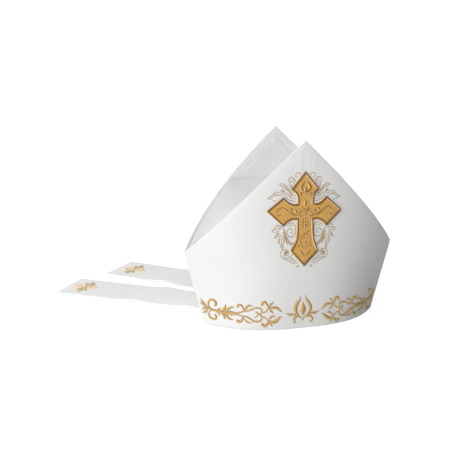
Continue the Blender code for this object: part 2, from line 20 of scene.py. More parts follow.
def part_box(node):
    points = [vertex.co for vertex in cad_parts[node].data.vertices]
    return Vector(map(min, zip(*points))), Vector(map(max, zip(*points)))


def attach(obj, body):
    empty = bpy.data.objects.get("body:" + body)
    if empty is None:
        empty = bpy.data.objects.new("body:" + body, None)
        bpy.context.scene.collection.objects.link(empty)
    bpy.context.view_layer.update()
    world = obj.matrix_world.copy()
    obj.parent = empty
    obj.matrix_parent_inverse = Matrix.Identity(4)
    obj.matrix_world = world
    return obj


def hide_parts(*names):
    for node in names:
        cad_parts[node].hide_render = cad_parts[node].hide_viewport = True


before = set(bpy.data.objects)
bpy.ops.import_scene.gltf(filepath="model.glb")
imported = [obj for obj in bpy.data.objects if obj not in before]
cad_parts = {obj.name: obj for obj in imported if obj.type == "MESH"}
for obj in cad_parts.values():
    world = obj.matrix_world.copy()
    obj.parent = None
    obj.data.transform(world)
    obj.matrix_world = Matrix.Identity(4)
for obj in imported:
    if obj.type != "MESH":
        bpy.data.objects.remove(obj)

LOG = logging.getLogger("mitre")
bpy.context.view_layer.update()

MILLIMETRE = 0.001
ARC_SAMPLES = 200
ARC_CHUNK = 20000
MERGE_DISTANCE = 1e-6
ON_OUTLINE = 1e-4

# The noises in a cloth, in turns per metre, the share of its second colour, and how dark its flecks and the
# painted shade in its weave's dips are
SLUB_SCALE = 420.0
FLECK_SCALE = 750.0
DRIFT_SCALE = 9.0
DRIFT_AMOUNT = 0.8
DARKENING = 0.72

Grid = np.ndarray
Flat = tuple[float, float]
Colour = tuple[float, float, float, float]
Lay = Callable[[Grid, Grid, Grid], Grid]
Part = tuple[Grid, Grid, Grid, list, Grid]


class Side(Enum):
    """Which half of the mitre a piece belongs to."""

    FRONT = -1
    REAR = 1

    @property
    def word(self) -> str:
        """The half's word in the names of its pieces."""
        return self.name.lower()


class Form(Enum):
    """How a stroke's width changes along it, as (share of its length, share of its full width)."""

    STEM = ((0.0, 0.7), (0.5, 0.85), (1.0, 0.5))
    LEAF = ((0.0, 0.3), (0.25, 0.72), (0.5, 1.0), (0.8, 0.6), (1.0, 0.06))
    CURL = ((0.0, 0.35), (0.45, 0.8), (0.75, 1.0), (0.92, 0.85), (1.0, 0.35))
    BUD = ((0.0, 0.06), (0.35, 1.0), (0.55, 0.85), (1.0, 0.04))
    LINE = ((0.0, 0.8), (0.5, 1.0), (1.0, 0.7))
    BLOB = ((0.0, 0.55), (0.3, 0.95), (0.6, 1.0), (1.0, 0.5))


@dataclass(frozen=True)
class Stroke:
    """One embroidered stroke: its form, its full width and its flat points, in millimetres."""

    form: Form
    width: float
    path: tuple[Flat, ...]


def stroke_table(*rows: tuple[Form | float | Flat, ...]) -> tuple[Stroke, ...]:
    """Strokes from rows that hold a form, a full width and then the points that it runs through."""
    return tuple(Stroke(form, width, tuple(path)) for form, width, *path in rows)


@dataclass(frozen=True)
class Pucker:
    """A faint upright fold below the front's peak: its place across, its half width and its rise."""

    place: float
    reach: float
    rise: float


PUCKERS = (
    Pucker(place=-0.006, reach=0.0035, rise=0.00045),
    Pucker(place=0.004, reach=0.003, rise=0.00035),
    Pucker(place=0.013, reach=0.004, rise=0.0003),
)


@dataclass(frozen=True)
class Shell:
    """The mitre's two walls, from the rim to the peaks, worked out from a few driving sizes."""

    middle_x: float
    middle_y: float
    base_half_width: float = 0.122
    corner_half_width: float = 0.150
    corner_height: float = 0.100
    peak_height: float = 0.257
    base_half_depth: float = 0.058
    corner_half_depth: float = 0.056
    peak_half_depth: float = 0.058
    base_roundness: float = 2.9
    peak_roundness: float = 1.9
    edge_bow: float = 0.138
    side_lean: float = 0.035
    seam: float = 0.00003
    wall: float = 0.0022
    pucker_height: float = 0.226
    pucker_fade: float = 0.022
    swell_rise: float = 0.0005
    swell_turns: Flat = (31.0, 27.0)
    swell_starts: Flat = (0.7, 0.4)
    border_fade: float = 0.03

    def half_width(self, height: Grid) -> Grid:
        """Half the shell's width at a height."""
        growth = (self.corner_half_width - self.base_half_width) * height / self.corner_height
        return self.base_half_width + growth

    def half_depth(self, height: Grid) -> Grid:
        """Half the shell's depth at a height, a parabola through the rim, the corners and the peaks.

        Args:
            height: Height above the rim, before the lean.

        Returns:
            Half the depth.
        """
        middle = self.corner_height
        high = self.peak_height
        at_low = (height - middle) * (height - high) / (middle * high)
        at_middle = height * (height - high) / (middle * (middle - high))
        at_high = height * (height - middle) / (high * (high - middle))
        return (self.base_half_depth * at_low + self.corner_half_depth * at_middle
                + self.peak_half_depth * at_high)

    def roundness(self, height: Grid) -> Grid:
        """The power of the section's curve at a height."""
        return self.base_roundness + (self.peak_roundness - self.base_roundness) * height / self.peak_height

    def point(self, side: Side, share: Grid, height: Grid, offset: Grid = 0.0) -> Grid:
        """Places on a wall.

        Args:
            side: The front or the rear wall.
            share: From -1 at the left seam to 1 at the right seam.
            height: Height above the rim, before the lean.
            offset: Distance outwards from the middle of the wall.

        Returns:
            The places, with x, y and z along the last axis.
        """
        share, height, offset = np.broadcast_arrays(share, height, offset)
        width = self.half_width(height)
        depth = self.half_depth(height)
        power = self.roundness(height)
        outer_width = width + offset * np.sqrt(1 + (width / (power * depth)) ** 2)
        bulge = (depth + offset - self.seam) * (1 - np.abs(share) ** power)
        x = self.middle_x + share * outer_width
        y = self.middle_y + side.value * (self.seam + bulge)
        return np.stack([x, y, height * (1 - self.side_lean * share)], axis=-1)

    def arcs(self, height: Grid) -> tuple[Grid, Grid]:
        """The cloth's length from the middle out to evenly spaced shares, one row for each height.

        Args:
            height: Height above the rim, before the lean.

        Returns:
            The shares, and the lengths.
        """
        height = np.atleast_1d(height)[:, None]
        shares = np.linspace(0, 1, ARC_SAMPLES)
        power = self.roundness(height)
        slopes = np.hypot(self.half_width(height), power * self.half_depth(height) * shares ** (power - 1))
        steps = (slopes[:, 1:] + slopes[:, :-1]) / 2 * np.diff(shares)
        return shares, np.concatenate([np.zeros((len(height), 1)), np.cumsum(steps, axis=1)], axis=1)

    def share_on_arc(self, distance: Grid, height: Grid) -> Grid:
        """The shares that lie at distances along the cloth from the middle, at the same heights.

        Args:
            distance: Distances along the cloth, below 0 to the left.
            height: Height above the rim, before the lean.

        Returns:
            The shares.
        """
        distance, height = np.broadcast_arrays(np.asarray(distance, float), np.asarray(height, float))
        flat_distance = distance.ravel()
        flat_height = height.ravel()
        found = np.zeros(flat_distance.shape)
        for start in range(0, len(found), ARC_CHUNK):
            piece = slice(start, start + ARC_CHUNK)
            shares, arcs = self.arcs(flat_height[piece])
            wanted = np.abs(flat_distance[piece])
            index = np.clip((arcs < wanted[:, None]).sum(axis=1), 1, ARC_SAMPLES - 1)
            rows = np.arange(len(wanted))
            before = arcs[rows, index - 1]
            after = arcs[rows, index]
            part = (wanted - before) / (after - before)
            found[piece] = shares[index - 1] + part * (shares[index] - shares[index - 1])
        return (np.sign(flat_distance) * found).reshape(distance.shape)

    def top_edge(self, share: Grid) -> Grid:
        """Height of the slanting top edge at a share, before the lean.

        Args:
            share: From -1 at the left seam to 1 at the right seam.

        Returns:
            The heights.
        """
        widening = (self.corner_half_width - self.base_half_width) / self.corner_height
        rise = self.peak_height - self.corner_height
        square = self.edge_bow * self.corner_half_width
        linear = (1 - self.edge_bow) * self.corner_half_width + np.abs(share) * widening * rise
        constant = -(1 - np.abs(share)) * self.corner_half_width
        climb = (-linear + np.sqrt(linear ** 2 - 4 * square * constant)) / (2 * square)
        return self.corner_height + rise * climb

    def pucker(self, share: Grid, height: Grid) -> Grid:
        """How far the front cloth stands proud: faint upright puckers below the peak and a slow swell.

        Args:
            share: From -1 at the left seam to 1 at the right seam.
            height: Height above the rim, before the lean.

        Returns:
            The rise above the plain shell.
        """
        across = share * self.half_width(height)
        near_peak = np.exp(-((height - self.pucker_height) / self.pucker_fade) ** 2)
        ridges = np.zeros(np.broadcast(share, height).shape)
        for fold in PUCKERS:
            ridges = ridges + fold.rise * np.exp(-((across - fold.place) / fold.reach) ** 2)
        wave_across = np.sin(across * self.swell_turns[0] + self.swell_starts[0])
        wave_up = np.sin(height * self.swell_turns[1] + self.swell_starts[1])
        return ridges * near_peak + self.swell_rise * wave_across * wave_up * self.edge_fade(share, height)

    def edge_fade(self, share: Grid, height: Grid) -> Grid:
        """From 0 on a panel's borders to 1 inside them.

        Args:
            share: From -1 at the left seam to 1 at the right seam.
            height: Height above the rim, before the lean.

        Returns:
            The share of a full rise.
        """
        below = np.clip((self.top_edge(share) - height) / self.border_fade, 0, 1)
        above = np.clip(height / self.border_fade, 0, 1)
        beside = np.clip((1 - np.abs(share)) * self.half_width(height) / self.border_fade, 0, 1)
        return below * above * beside

    def on_front(self, distance: Grid, height: Grid, above: Grid) -> Grid:
        """Lay flat points on the front's outer side.

        Args:
            distance: Distance along the cloth from the middle.
            height: True height above the rim.
            above: Height above the cloth.

        Returns:
            The places, with x, y and z along the last axis.
        """
        share = self.share_on_arc(distance, height)
        level = height / (1 - self.side_lean * share)
        return self.point(Side.FRONT, share, level, self.wall / 2 + self.pucker(share, level) + above)


def smooth_step(value: Grid) -> Grid:
    """Rise smoothly from 0 to 1 as value does."""
    value = np.clip(value, 0.0, 1.0)
    return value * value * (3 - 2 * value)


def edge_rows(count: int, length: float, radius: float, arc_steps: int = 4) -> Grid:
    """Shares of a length that are evenly spaced inside and closer together round both rounded edges.

    Args:
        count: How many are evenly spaced.
        length: The length.
        radius: The radius of the rounded edges.
        arc_steps: How many more go round each edge.

    Returns:
        The shares, from 0 to 1.
    """
    angles = np.linspace(0, math.pi / 2, arc_steps + 1)[:-1]
    start = radius * (1 - np.cos(angles)) / length
    return np.concatenate([start, np.linspace(radius / length, 1 - radius / length, count), 1 - start[::-1]])


def rounded(distance: Grid, radius: float) -> Grid:
    """The share of the full thickness at a distance from a rounded edge."""
    inside = np.clip(1 - distance / radius, 0, 1)
    return np.sqrt(np.clip(1 - inside ** 2, 0, 1))


def soft_minimum(first: Grid, second: Grid, ease: float) -> Grid:
    """The smaller of two values, with the step between them eased over about as much as ease."""
    return (first + second - np.sqrt((first - second) ** 2 + 4 * ease ** 2)) / 2


def soft_border(shape: tuple[int, int], steps: int) -> Grid:
    """From 0 on a grid's border to 1, round a quarter circle, some steps inside it.

    Args:
        shape: The grid's rows and columns.
        steps: How many steps the rise takes.

    Returns:
        A grid of that shape.
    """
    turns = np.sin(np.linspace(0, math.pi / 2, steps + 1))
    sides = []
    for count in shape:
        side = np.ones(count)
        side[:steps + 1] = turns
        side[-steps - 1:] = turns[::-1]
        sides.append(side)
    return np.minimum(sides[0][:, None], sides[1][None, :])


def deselect_all() -> None:
    """Leave nothing selected, so that an operator acts on one new piece only."""
    if bpy.context.object and bpy.context.object.mode != "OBJECT":
        bpy.ops.object.mode_set(mode="OBJECT")
    bpy.ops.object.select_all(action="DESELECT")


def new_piece(name: str, points: Grid, faces: Sequence[Sequence[int]], uvs: Grid | None = None,
              tones: Grid | None = None) -> bpy.types.Object:
    """Make an object from points and faces, smooth-shaded, its faces outwards.

    Args:
        name: The piece's name.
        points: Its vertices.
        faces: The vertex numbers of each face.
        uvs: A flat place for each vertex, in metres along the cloth or thread.
        tones: A number for each vertex that its material may read as the attribute tone.

    Returns:
        The new object.
    """
    mesh = bpy.data.meshes.new(name)
    mesh.from_pydata(np.asarray(points, float).tolist(), [], [list(face) for face in faces])
    if tones is not None:
        attribute = mesh.attributes.new("tone", "FLOAT", "POINT")
        attribute.data.foreach_set("value", np.asarray(tones, np.float32))
    if uvs is not None:
        layer = mesh.uv_layers.new(name="cloth")
        corners = np.zeros(len(mesh.loops), np.int32)
        mesh.loops.foreach_get("vertex_index", corners)
        layer.data.foreach_set("uv", np.asarray(uvs, np.float32)[corners].ravel())
    builder = bmesh.new()
    builder.from_mesh(mesh)
    bmesh.ops.recalc_face_normals(builder, faces=builder.faces)
    builder.to_mesh(mesh)
    builder.free()
    mesh.shade_smooth()
    piece = bpy.data.objects.new(name, mesh)
    bpy.context.scene.collection.objects.link(piece)
    return piece


def closed_sheet(name: str, upper: Grid, lower: Grid, flat: Grid) -> bpy.types.Object:
    """Make one closed cloth of two grids of points whose borders are the same.

    Args:
        name: The piece's name.
        upper: Rows of points on one face of the cloth.
        lower: The same rows on its other face.
        flat: Each point's place on the flat cloth, in metres.

    Returns:
        The new object.
    """
    rows, columns = upper.shape[:2]
    top = np.arange(rows * columns).reshape(rows, columns)
    under = top.copy()
    inner_count = (rows - 2) * (columns - 2)
    under[1:-1, 1:-1] = rows * columns + np.arange(inner_count).reshape(rows - 2, columns - 2)
    points = np.concatenate([upper.reshape(-1, 3), lower[1:-1, 1:-1].reshape(-1, 3)])
    places = np.concatenate([flat.reshape(-1, 2), flat[1:-1, 1:-1].reshape(-1, 2)])
    faces = []
    for skin in (top, under[:, ::-1]):
        quads = np.stack([skin[:-1, :-1], skin[:-1, 1:], skin[1:, 1:], skin[1:, :-1]], axis=-1)
        faces.append(quads.reshape(-1, 4))
    return new_piece(name, points, np.concatenate(faces), places)


def surface_normals(grid: Grid) -> Grid:
    """Unit normals of a grid of points."""
    normals = np.cross(np.gradient(grid, axis=1), np.gradient(grid, axis=0))
    return normals / np.linalg.norm(normals, axis=2, keepdims=True)


# Shader helpers


class NodeMaker:
    """Places and links the nodes of one material or node group."""

    def __init__(self, tree: bpy.types.NodeTree) -> None:
        """Keep the tree that the nodes go into."""
        self.tree = tree

    def add(self, kind: str, settings: dict | None = None, **inputs: object) -> bpy.types.Node:
        """Add a node.

        Args:
            kind: The node's type, without the leading ShaderNode.
            settings: Its own properties.
            inputs: A value or an output socket for each input, spaces in its name as underscores.

        Returns:
            The new node.
        """
        node = self.tree.nodes.new("ShaderNode" + kind)
        for key, value in (settings or {}).items():
            setattr(node, key, value)
        for key, value in inputs.items():
            self.feed(node.inputs[key.replace("_", " ")], value)
        return node

    def feed(self, socket: bpy.types.NodeSocket, value: object) -> None:
        """Link an output socket to an input, or set the input's own value.

        Args:
            socket: The input.
            value: The output socket or the value.
        """
        if isinstance(value, bpy.types.NodeSocket):
            self.tree.links.new(value, socket)
        else:
            socket.default_value = value

    def math(self, operation: str, first: object, second: object = 0.0) -> bpy.types.NodeSocket:
        """One step of arithmetic.

        Args:
            operation: The Math node's operation.
            first: Its first value or socket.
            second: Its second value or socket.

        Returns:
            The result's socket.
        """
        node = self.add("Math", {"operation": operation})
        self.feed(node.inputs[0], first)
        self.feed(node.inputs[1], second)
        return node.outputs[0]

    def mix(self, share: object, first: object, second: object) -> bpy.types.NodeSocket:
        """Mix two colours.

        Args:
            share: How much of the second there is, from 0 to 1.
            first: The first colour.
            second: The second colour.

        Returns:
            The mixed colour's socket.
        """
        node = self.add("Mix", {"data_type": "RGBA"})
        self.feed(node.inputs[0], share)
        self.feed(node.inputs[6], first)
        self.feed(node.inputs[7], second)
        return node.outputs[2]

    def span(self, value: object, low: float, high: float, to_low: float,
             to_high: float) -> bpy.types.NodeSocket:
        """Map a range of values onto another, and stop at its ends.

        Args:
            value: The value or socket.
            low: The start of its range.
            high: The end of its range.
            to_low: What the start becomes.
            to_high: What the end becomes.

        Returns:
            The mapped value's socket.
        """
        node = self.add("MapRange")
        for socket, number in zip(node.inputs[:5], (value, low, high, to_low, to_high)):
            self.feed(socket, number)
        return node.outputs[0]

    def for_camera(self, lit: bpy.types.NodeSocket, seen: bpy.types.NodeSocket) -> bpy.types.NodeSocket:
        """Show the camera another shader than the one that lights the scene.

        Args:
            lit: The shader for every other ray.
            seen: The shader that the camera sees.

        Returns:
            The joined shader.
        """
        path = self.add("LightPath")
        both = self.add("MixShader")
        for socket, value in zip(both.inputs, (path.outputs["Is Camera Ray"], lit, seen)):
            self.feed(socket, value)
        return both.outputs[0]


def start_material(name: str) -> tuple[bpy.types.Material, NodeMaker, bpy.types.Node]:
    """Start a material.

    Args:
        name: Its name.

    Returns:
        The material, its node maker and its Principled shader.
    """
    material = bpy.data.materials.new(name)
    material.use_nodes = True
    tree = material.node_tree
    return material, NodeMaker(tree), tree.nodes["Principled BSDF"]


def node_group(name: str, inputs: dict[str, str], outputs: dict[str, str]) -> tuple[
        bpy.types.NodeTree, NodeMaker, bpy.types.Node, bpy.types.Node]:
    """Start a shader node group.

    Args:
        name: The group's name.
        inputs: The kind of each input socket, Float, Vector or Color.
        outputs: The kind of each output socket.

    Returns:
        The group, its node maker, and its input and output nodes.
    """
    group = bpy.data.node_groups.new(name, "ShaderNodeTree")
    for direction, sockets in (("INPUT", inputs), ("OUTPUT", outputs)):
        for label, kind in sockets.items():
            group.interface.new_socket(label, in_out=direction, socket_type="NodeSocket" + kind)
    return group, NodeMaker(group), group.nodes.new("NodeGroupInput"), group.nodes.new("NodeGroupOutput")


def make_weave_group() -> bpy.types.NodeTree:
    """Warp and weft threads of a cloth on its flat coordinates, with slubs.

    Returns:
        A group that gives the height of the threads and their tone, which is lower where they dip, for
        painted shade, both about 0.5.
    """
    group, make, given, result = node_group(
        "woven_threads", {"Place": "Vector", "Warp pitch": "Float", "Weft pitch": "Float", "Slub": "Float"},
        {"Height": "Float", "Tone": "Float"})
    place = make.add("SeparateXYZ", Vector=given.outputs["Place"])
    waves = []
    for axis, pitch in ((0, "Warp pitch"), (1, "Weft pitch")):
        turns = make.math("DIVIDE", place.outputs[axis], given.outputs[pitch])
        waves.append(make.math("SINE", make.math("MULTIPLY", turns, math.tau)))
    weave = make.math("MULTIPLY", waves[0], make.math("MULTIPLY", waves[1], 0.35))
    threads = make.math("ADD", make.math("MULTIPLY", waves[0], 0.5), weave)
    slub = make.add("TexNoise", {"noise_dimensions": "3D"}, Vector=given.outputs["Place"], Scale=SLUB_SCALE,
                    Detail=3.0)
    uneven = make.math("MULTIPLY", make.math("SUBTRACT", slub.outputs["Fac"], 0.5), given.outputs["Slub"])
    height = make.math("ADD", make.math("MULTIPLY", threads, 0.5), uneven)
    make.feed(result.inputs["Height"], make.math("ADD", height, 0.5))
    make.feed(result.inputs["Tone"], make.math("ADD", make.math("MULTIPLY", height, 0.4), 0.5))
    return group


def make_drift_group() -> bpy.types.NodeTree:
    """A slow drift of colour over a whole piece, and small flecks.

    Returns:
        A group that gives the drifted colour and a mask of the flecks.
    """
    group, make, given, result = node_group(
        "colour_drift",
        {"Place": "Vector", "Base": "Color", "Shade": "Color", "Amount": "Float", "Size": "Float"},
        {"Colour": "Color", "Flecks": "Float"})
    slow = make.add("TexNoise", Vector=given.outputs["Place"], Scale=given.outputs["Size"], Detail=4.0)
    share = make.span(slow.outputs["Fac"], 0.35, 0.7, 0.0, 1.0)
    share = make.math("MULTIPLY", share, given.outputs["Amount"])
    make.feed(result.inputs["Colour"], make.mix(share, given.outputs["Base"], given.outputs["Shade"]))
    flecks = make.add("TexNoise", Vector=given.outputs["Place"], Scale=FLECK_SCALE, Detail=2.0)
    make.feed(result.inputs["Flecks"], make.span(flecks.outputs["Fac"], 0.42, 0.62, 0.0, 1.0))
    return group


def make_stitch_group() -> bpy.types.NodeTree:
    """Satin stitches that lie slantwise across a stroke, on the stroke's own coordinates.

    Returns:
        A group that gives the height of the threads and a tone that varies from thread to thread.
    """
    group, make, given, result = node_group(
        "satin_stitches", {"Place": "Vector", "Pitch": "Float", "Slant": "Float"},
        {"Height": "Float", "Tone": "Float"})
    place = make.add("SeparateXYZ", Vector=given.outputs["Place"])
    slid = make.math("MULTIPLY", place.outputs[1], given.outputs["Slant"])
    along = make.math("ADD", place.outputs[0], slid)
    turns = make.math("DIVIDE", along, given.outputs["Pitch"])
    wave = make.math("SINE", make.math("MULTIPLY", turns, math.tau))
    one_thread = make.add("CombineXYZ", X=make.math("FLOOR", turns))
    random = make.add("TexWhiteNoise", {"noise_dimensions": "3D"}, Vector=one_thread.outputs[0])
    make.feed(result.inputs["Height"], make.math("ADD", make.math("MULTIPLY", wave, 0.5), 0.5))
    make.feed(result.inputs["Tone"], random.outputs["Value"])
    return group


@dataclass(frozen=True)
class ClothFinish:
    """A woven cloth: its colours, thread pitches in metres and gloss."""

    name: str
    base: Colour
    shade: Colour
    roughness: float
    sheen: float
    warp_pitch: float
    weft_pitch: float
    bump: float
    slub: float
    flecks: float = 0.0

    def material(self, weave: bpy.types.NodeTree, drift: bpy.types.NodeTree) -> bpy.types.Material:
        """Make the material.

        Args:
            weave: The group of woven threads.
            drift: The group of slow colour drift.

        Returns:
            The new material.
        """
        material, make, shader = start_material(self.name)
        flat = make.add("UVMap", {"uv_map": "cloth"})
        place = make.add("TexCoord")
        threads = make.add("Group", {"node_tree": weave}, Place=flat.outputs["UV"],
                           Warp_pitch=self.warp_pitch, Weft_pitch=self.weft_pitch, Slub=self.slub)
        drifted = make.add("Group", {"node_tree": drift}, Place=place.outputs["Object"], Base=self.base,
                           Shade=self.shade, Amount=DRIFT_AMOUNT, Size=DRIFT_SCALE)
        darker = tuple(channel * DARKENING for channel in self.base[:3]) + (1.0,)
        fleck_share = make.math("MULTIPLY", drifted.outputs["Flecks"], self.flecks)
        flecked = make.mix(fleck_share, drifted.outputs["Colour"], darker)
        # Painted shade where the woven threads dip, with uneven slubs: the colour darkens a little where the
        # threads lie low
        dip_shade_share = make.span(threads.outputs["Tone"], 0.3, 0.7, 0.10, 0.0)
        make.feed(shader.inputs["Base Color"], make.mix(dip_shade_share, flecked, darker))
        make.feed(shader.inputs["Roughness"], make.span(
            threads.outputs["Height"], 0.0, 1.0, self.roughness + 0.06, self.roughness - 0.04))
        bump = make.add("Bump", Strength=self.bump, Distance=0.00025, Height=threads.outputs["Height"])
        make.feed(shader.inputs["Normal"], bump.outputs[0])
        shader.inputs["Sheen Weight"].default_value = self.sheen
        shader.inputs["Sheen Roughness"].default_value = 0.4
        shader.inputs["Specular IOR Level"].default_value = 0.4
        return material


@dataclass(frozen=True)
class ThreadFinish:
    """Embroidery thread: its colours for dark tones and painted shade, as it mostly lies, and for painted
    highlight.
    """

    name: str
    dark: Colour
    middle: Colour
    light: Colour
    roughness: float
    metallic: float
    pitch: float = 0.0004
    slant: float = 0.35

    def material(self, stitches: bpy.types.NodeTree) -> bpy.types.Material:
        """Make the material.

        Args:
            stitches: The group of satin stitches.

        Returns:
            The new material.
        """
        material, make, shader = start_material(self.name)
        flat = make.add("UVMap", {"uv_map": "cloth"})
        threads = make.add("Group", {"node_tree": stitches}, Place=flat.outputs["UV"], Pitch=self.pitch,
                           Slant=self.slant)
        # Painted highlight and painted shade: the attribute tone, set from which way each flank faces, mixes
        # in the light or dark colour
        tone = make.add("Attribute", {"attribute_name": "tone"})
        to_dark = make.span(tone.outputs["Fac"], -1.0, 0.0, 1.0, 0.0)
        to_light = make.span(tone.outputs["Fac"], 0.0, 1.0, 0.0, 1.0)
        lit = make.mix(to_light, make.mix(to_dark, self.middle, self.dark), self.light)
        worn = make.math("MULTIPLY", threads.outputs["Tone"], 0.22)
        make.feed(shader.inputs["Base Color"], make.mix(worn, lit, self.dark))
        make.feed(shader.inputs["Roughness"], make.span(
            threads.outputs["Tone"], 0.0, 1.0, self.roughness - 0.06, self.roughness + 0.06))
        bump = make.add("Bump", Strength=0.45, Distance=0.0002, Height=threads.outputs["Height"])
        make.feed(shader.inputs["Normal"], bump.outputs[0])
        shader.inputs["Metallic"].default_value = self.metallic
        shader.inputs["Specular IOR Level"].default_value = 0.55
        return material


WHITE_SATIN = ClothFinish("white_satin", (0.87, 0.87, 0.865, 1), (0.83, 0.83, 0.82, 1), 0.42, 0.12,
                          0.00028, 0.0006, 0.10, 0.5)
LAPPET_SATIN = replace(WHITE_SATIN, name="lappet_satin", base=(0.925, 0.925, 0.92, 1),
                       shade=(0.89, 0.89, 0.88, 1))
GREY_LINING = ClothFinish("grey_lining", (0.83, 0.83, 0.835, 1), (0.79, 0.79, 0.80, 1), 0.62, 0.10,
                          0.0005, 0.0005, 0.25, 0.8)
# A darker copy of the grey lining for the web: painted shade in the hollow between the horns
WEB_LINING_PAINTED_SHADE = replace(GREY_LINING, name="grey_web_lining", base=(0.79, 0.79, 0.80, 1),
                     shade=(0.75, 0.75, 0.76, 1))
GOLD_SATIN = ClothFinish("gold_satin", (0.86, 0.49, 0.125, 1), (0.78, 0.43, 0.10, 1), 0.42, 0.05,
                         0.0004, 0.0007, 0.35, 0.9, 1.0)
# Each thread's dark colour serves dark tones and painted shade, and its light colour is a painted highlight
GOLD_THREAD = ThreadFinish("gold_thread", (0.42, 0.21, 0.055, 1), (0.72, 0.47, 0.17, 1),
                           (0.98, 0.85, 0.54, 1), 0.38, 0.1)
CROSS_THREAD = ThreadFinish("cross_thread", (0.27, 0.115, 0.022, 1), (0.62, 0.34, 0.085, 1),
                            (0.98, 0.82, 0.52, 1), 0.38, 0.1)
TIP_THREAD = ThreadFinish("tip_thread", (0.62, 0.42, 0.18, 1), (0.82, 0.60, 0.31, 1), (0.97, 0.86, 0.60, 1),
                          0.42, 0.05)
TAN_THREAD = ThreadFinish("tan_thread", (0.38, 0.24, 0.11, 1), (0.62, 0.45, 0.26, 1), (0.86, 0.74, 0.54, 1),
                          0.5, 0.0)


class Finishes:
    """All the materials, each made once."""

    def __init__(self) -> None:
        """Build the shared node groups and then the materials."""
        weave = make_weave_group()
        drift = make_drift_group()
        stitches = make_stitch_group()
        self.white_satin = WHITE_SATIN.material(weave, drift)
        self.lappet_satin = LAPPET_SATIN.material(weave, drift)
        self.grey_lining = GREY_LINING.material(weave, drift)
        self.web_lining_painted_shade = WEB_LINING_PAINTED_SHADE.material(weave, drift)
        self.gold_satin = GOLD_SATIN.material(weave, drift)
        self.gold_thread = GOLD_THREAD.material(stitches)
        self.cross_thread = CROSS_THREAD.material(stitches)
        self.tip_thread = TIP_THREAD.material(stitches)
        self.tan_thread = TAN_THREAD.material(stitches)


def dress(piece: bpy.types.Object, material: bpy.types.Material, slot: str,
          *nodes: str) -> bpy.types.Object:
    """Give a piece its material, hide the plain solids that it stands for, and let it ride.

    Args:
        piece: The finished piece.
        material: Its material.
        slot: The record's material slot; not used.
        nodes: The solids that it replaces.

    Returns:
        The piece.
    """
    piece.data.materials.clear()
    piece.data.materials.append(material)
    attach(piece, "root")
    if nodes:
        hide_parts(*nodes)
    LOG.info("%s: %d faces", piece.name, len(piece.data.polygons))
    return piece


# Embroidery: flat strokes, crowned like satin stitch and laid on the cloth

def smooth_path(points: Sequence[Flat], step: float) -> Grid:
    """Points of a smooth curve through a few given ones, about step apart, in the units of the points.

    Args:
        points: The points that it runs through.
        step: The distance between points.

    Returns:
        The curve's points.
    """
    knots = [np.array(point, float) for point in points]
    ends = [2 * knots[0] - knots[1]] + knots + [2 * knots[-1] - knots[-2]]
    curve = []
    for i in range(len(ends) - 3):
        a, b, c, d = ends[i:i + 4]
        count = max(2, math.ceil(float(np.linalg.norm(c - b)) / step))
        for k in range(count):
            t = k / count
            curve.append(0.5 * (2 * b + (c - a) * t + (2 * a - 5 * b + 4 * c - d) * t * t
                                + (3 * b - a - 3 * c + d) * t ** 3))
    curve.append(knots[-1])
    return np.array(curve)


def lengths_along(curve: Grid) -> Grid:
    """How far along a curve each of its points lies."""
    return np.concatenate([[0], np.cumsum(np.linalg.norm(np.diff(curve, axis=0), axis=1))])


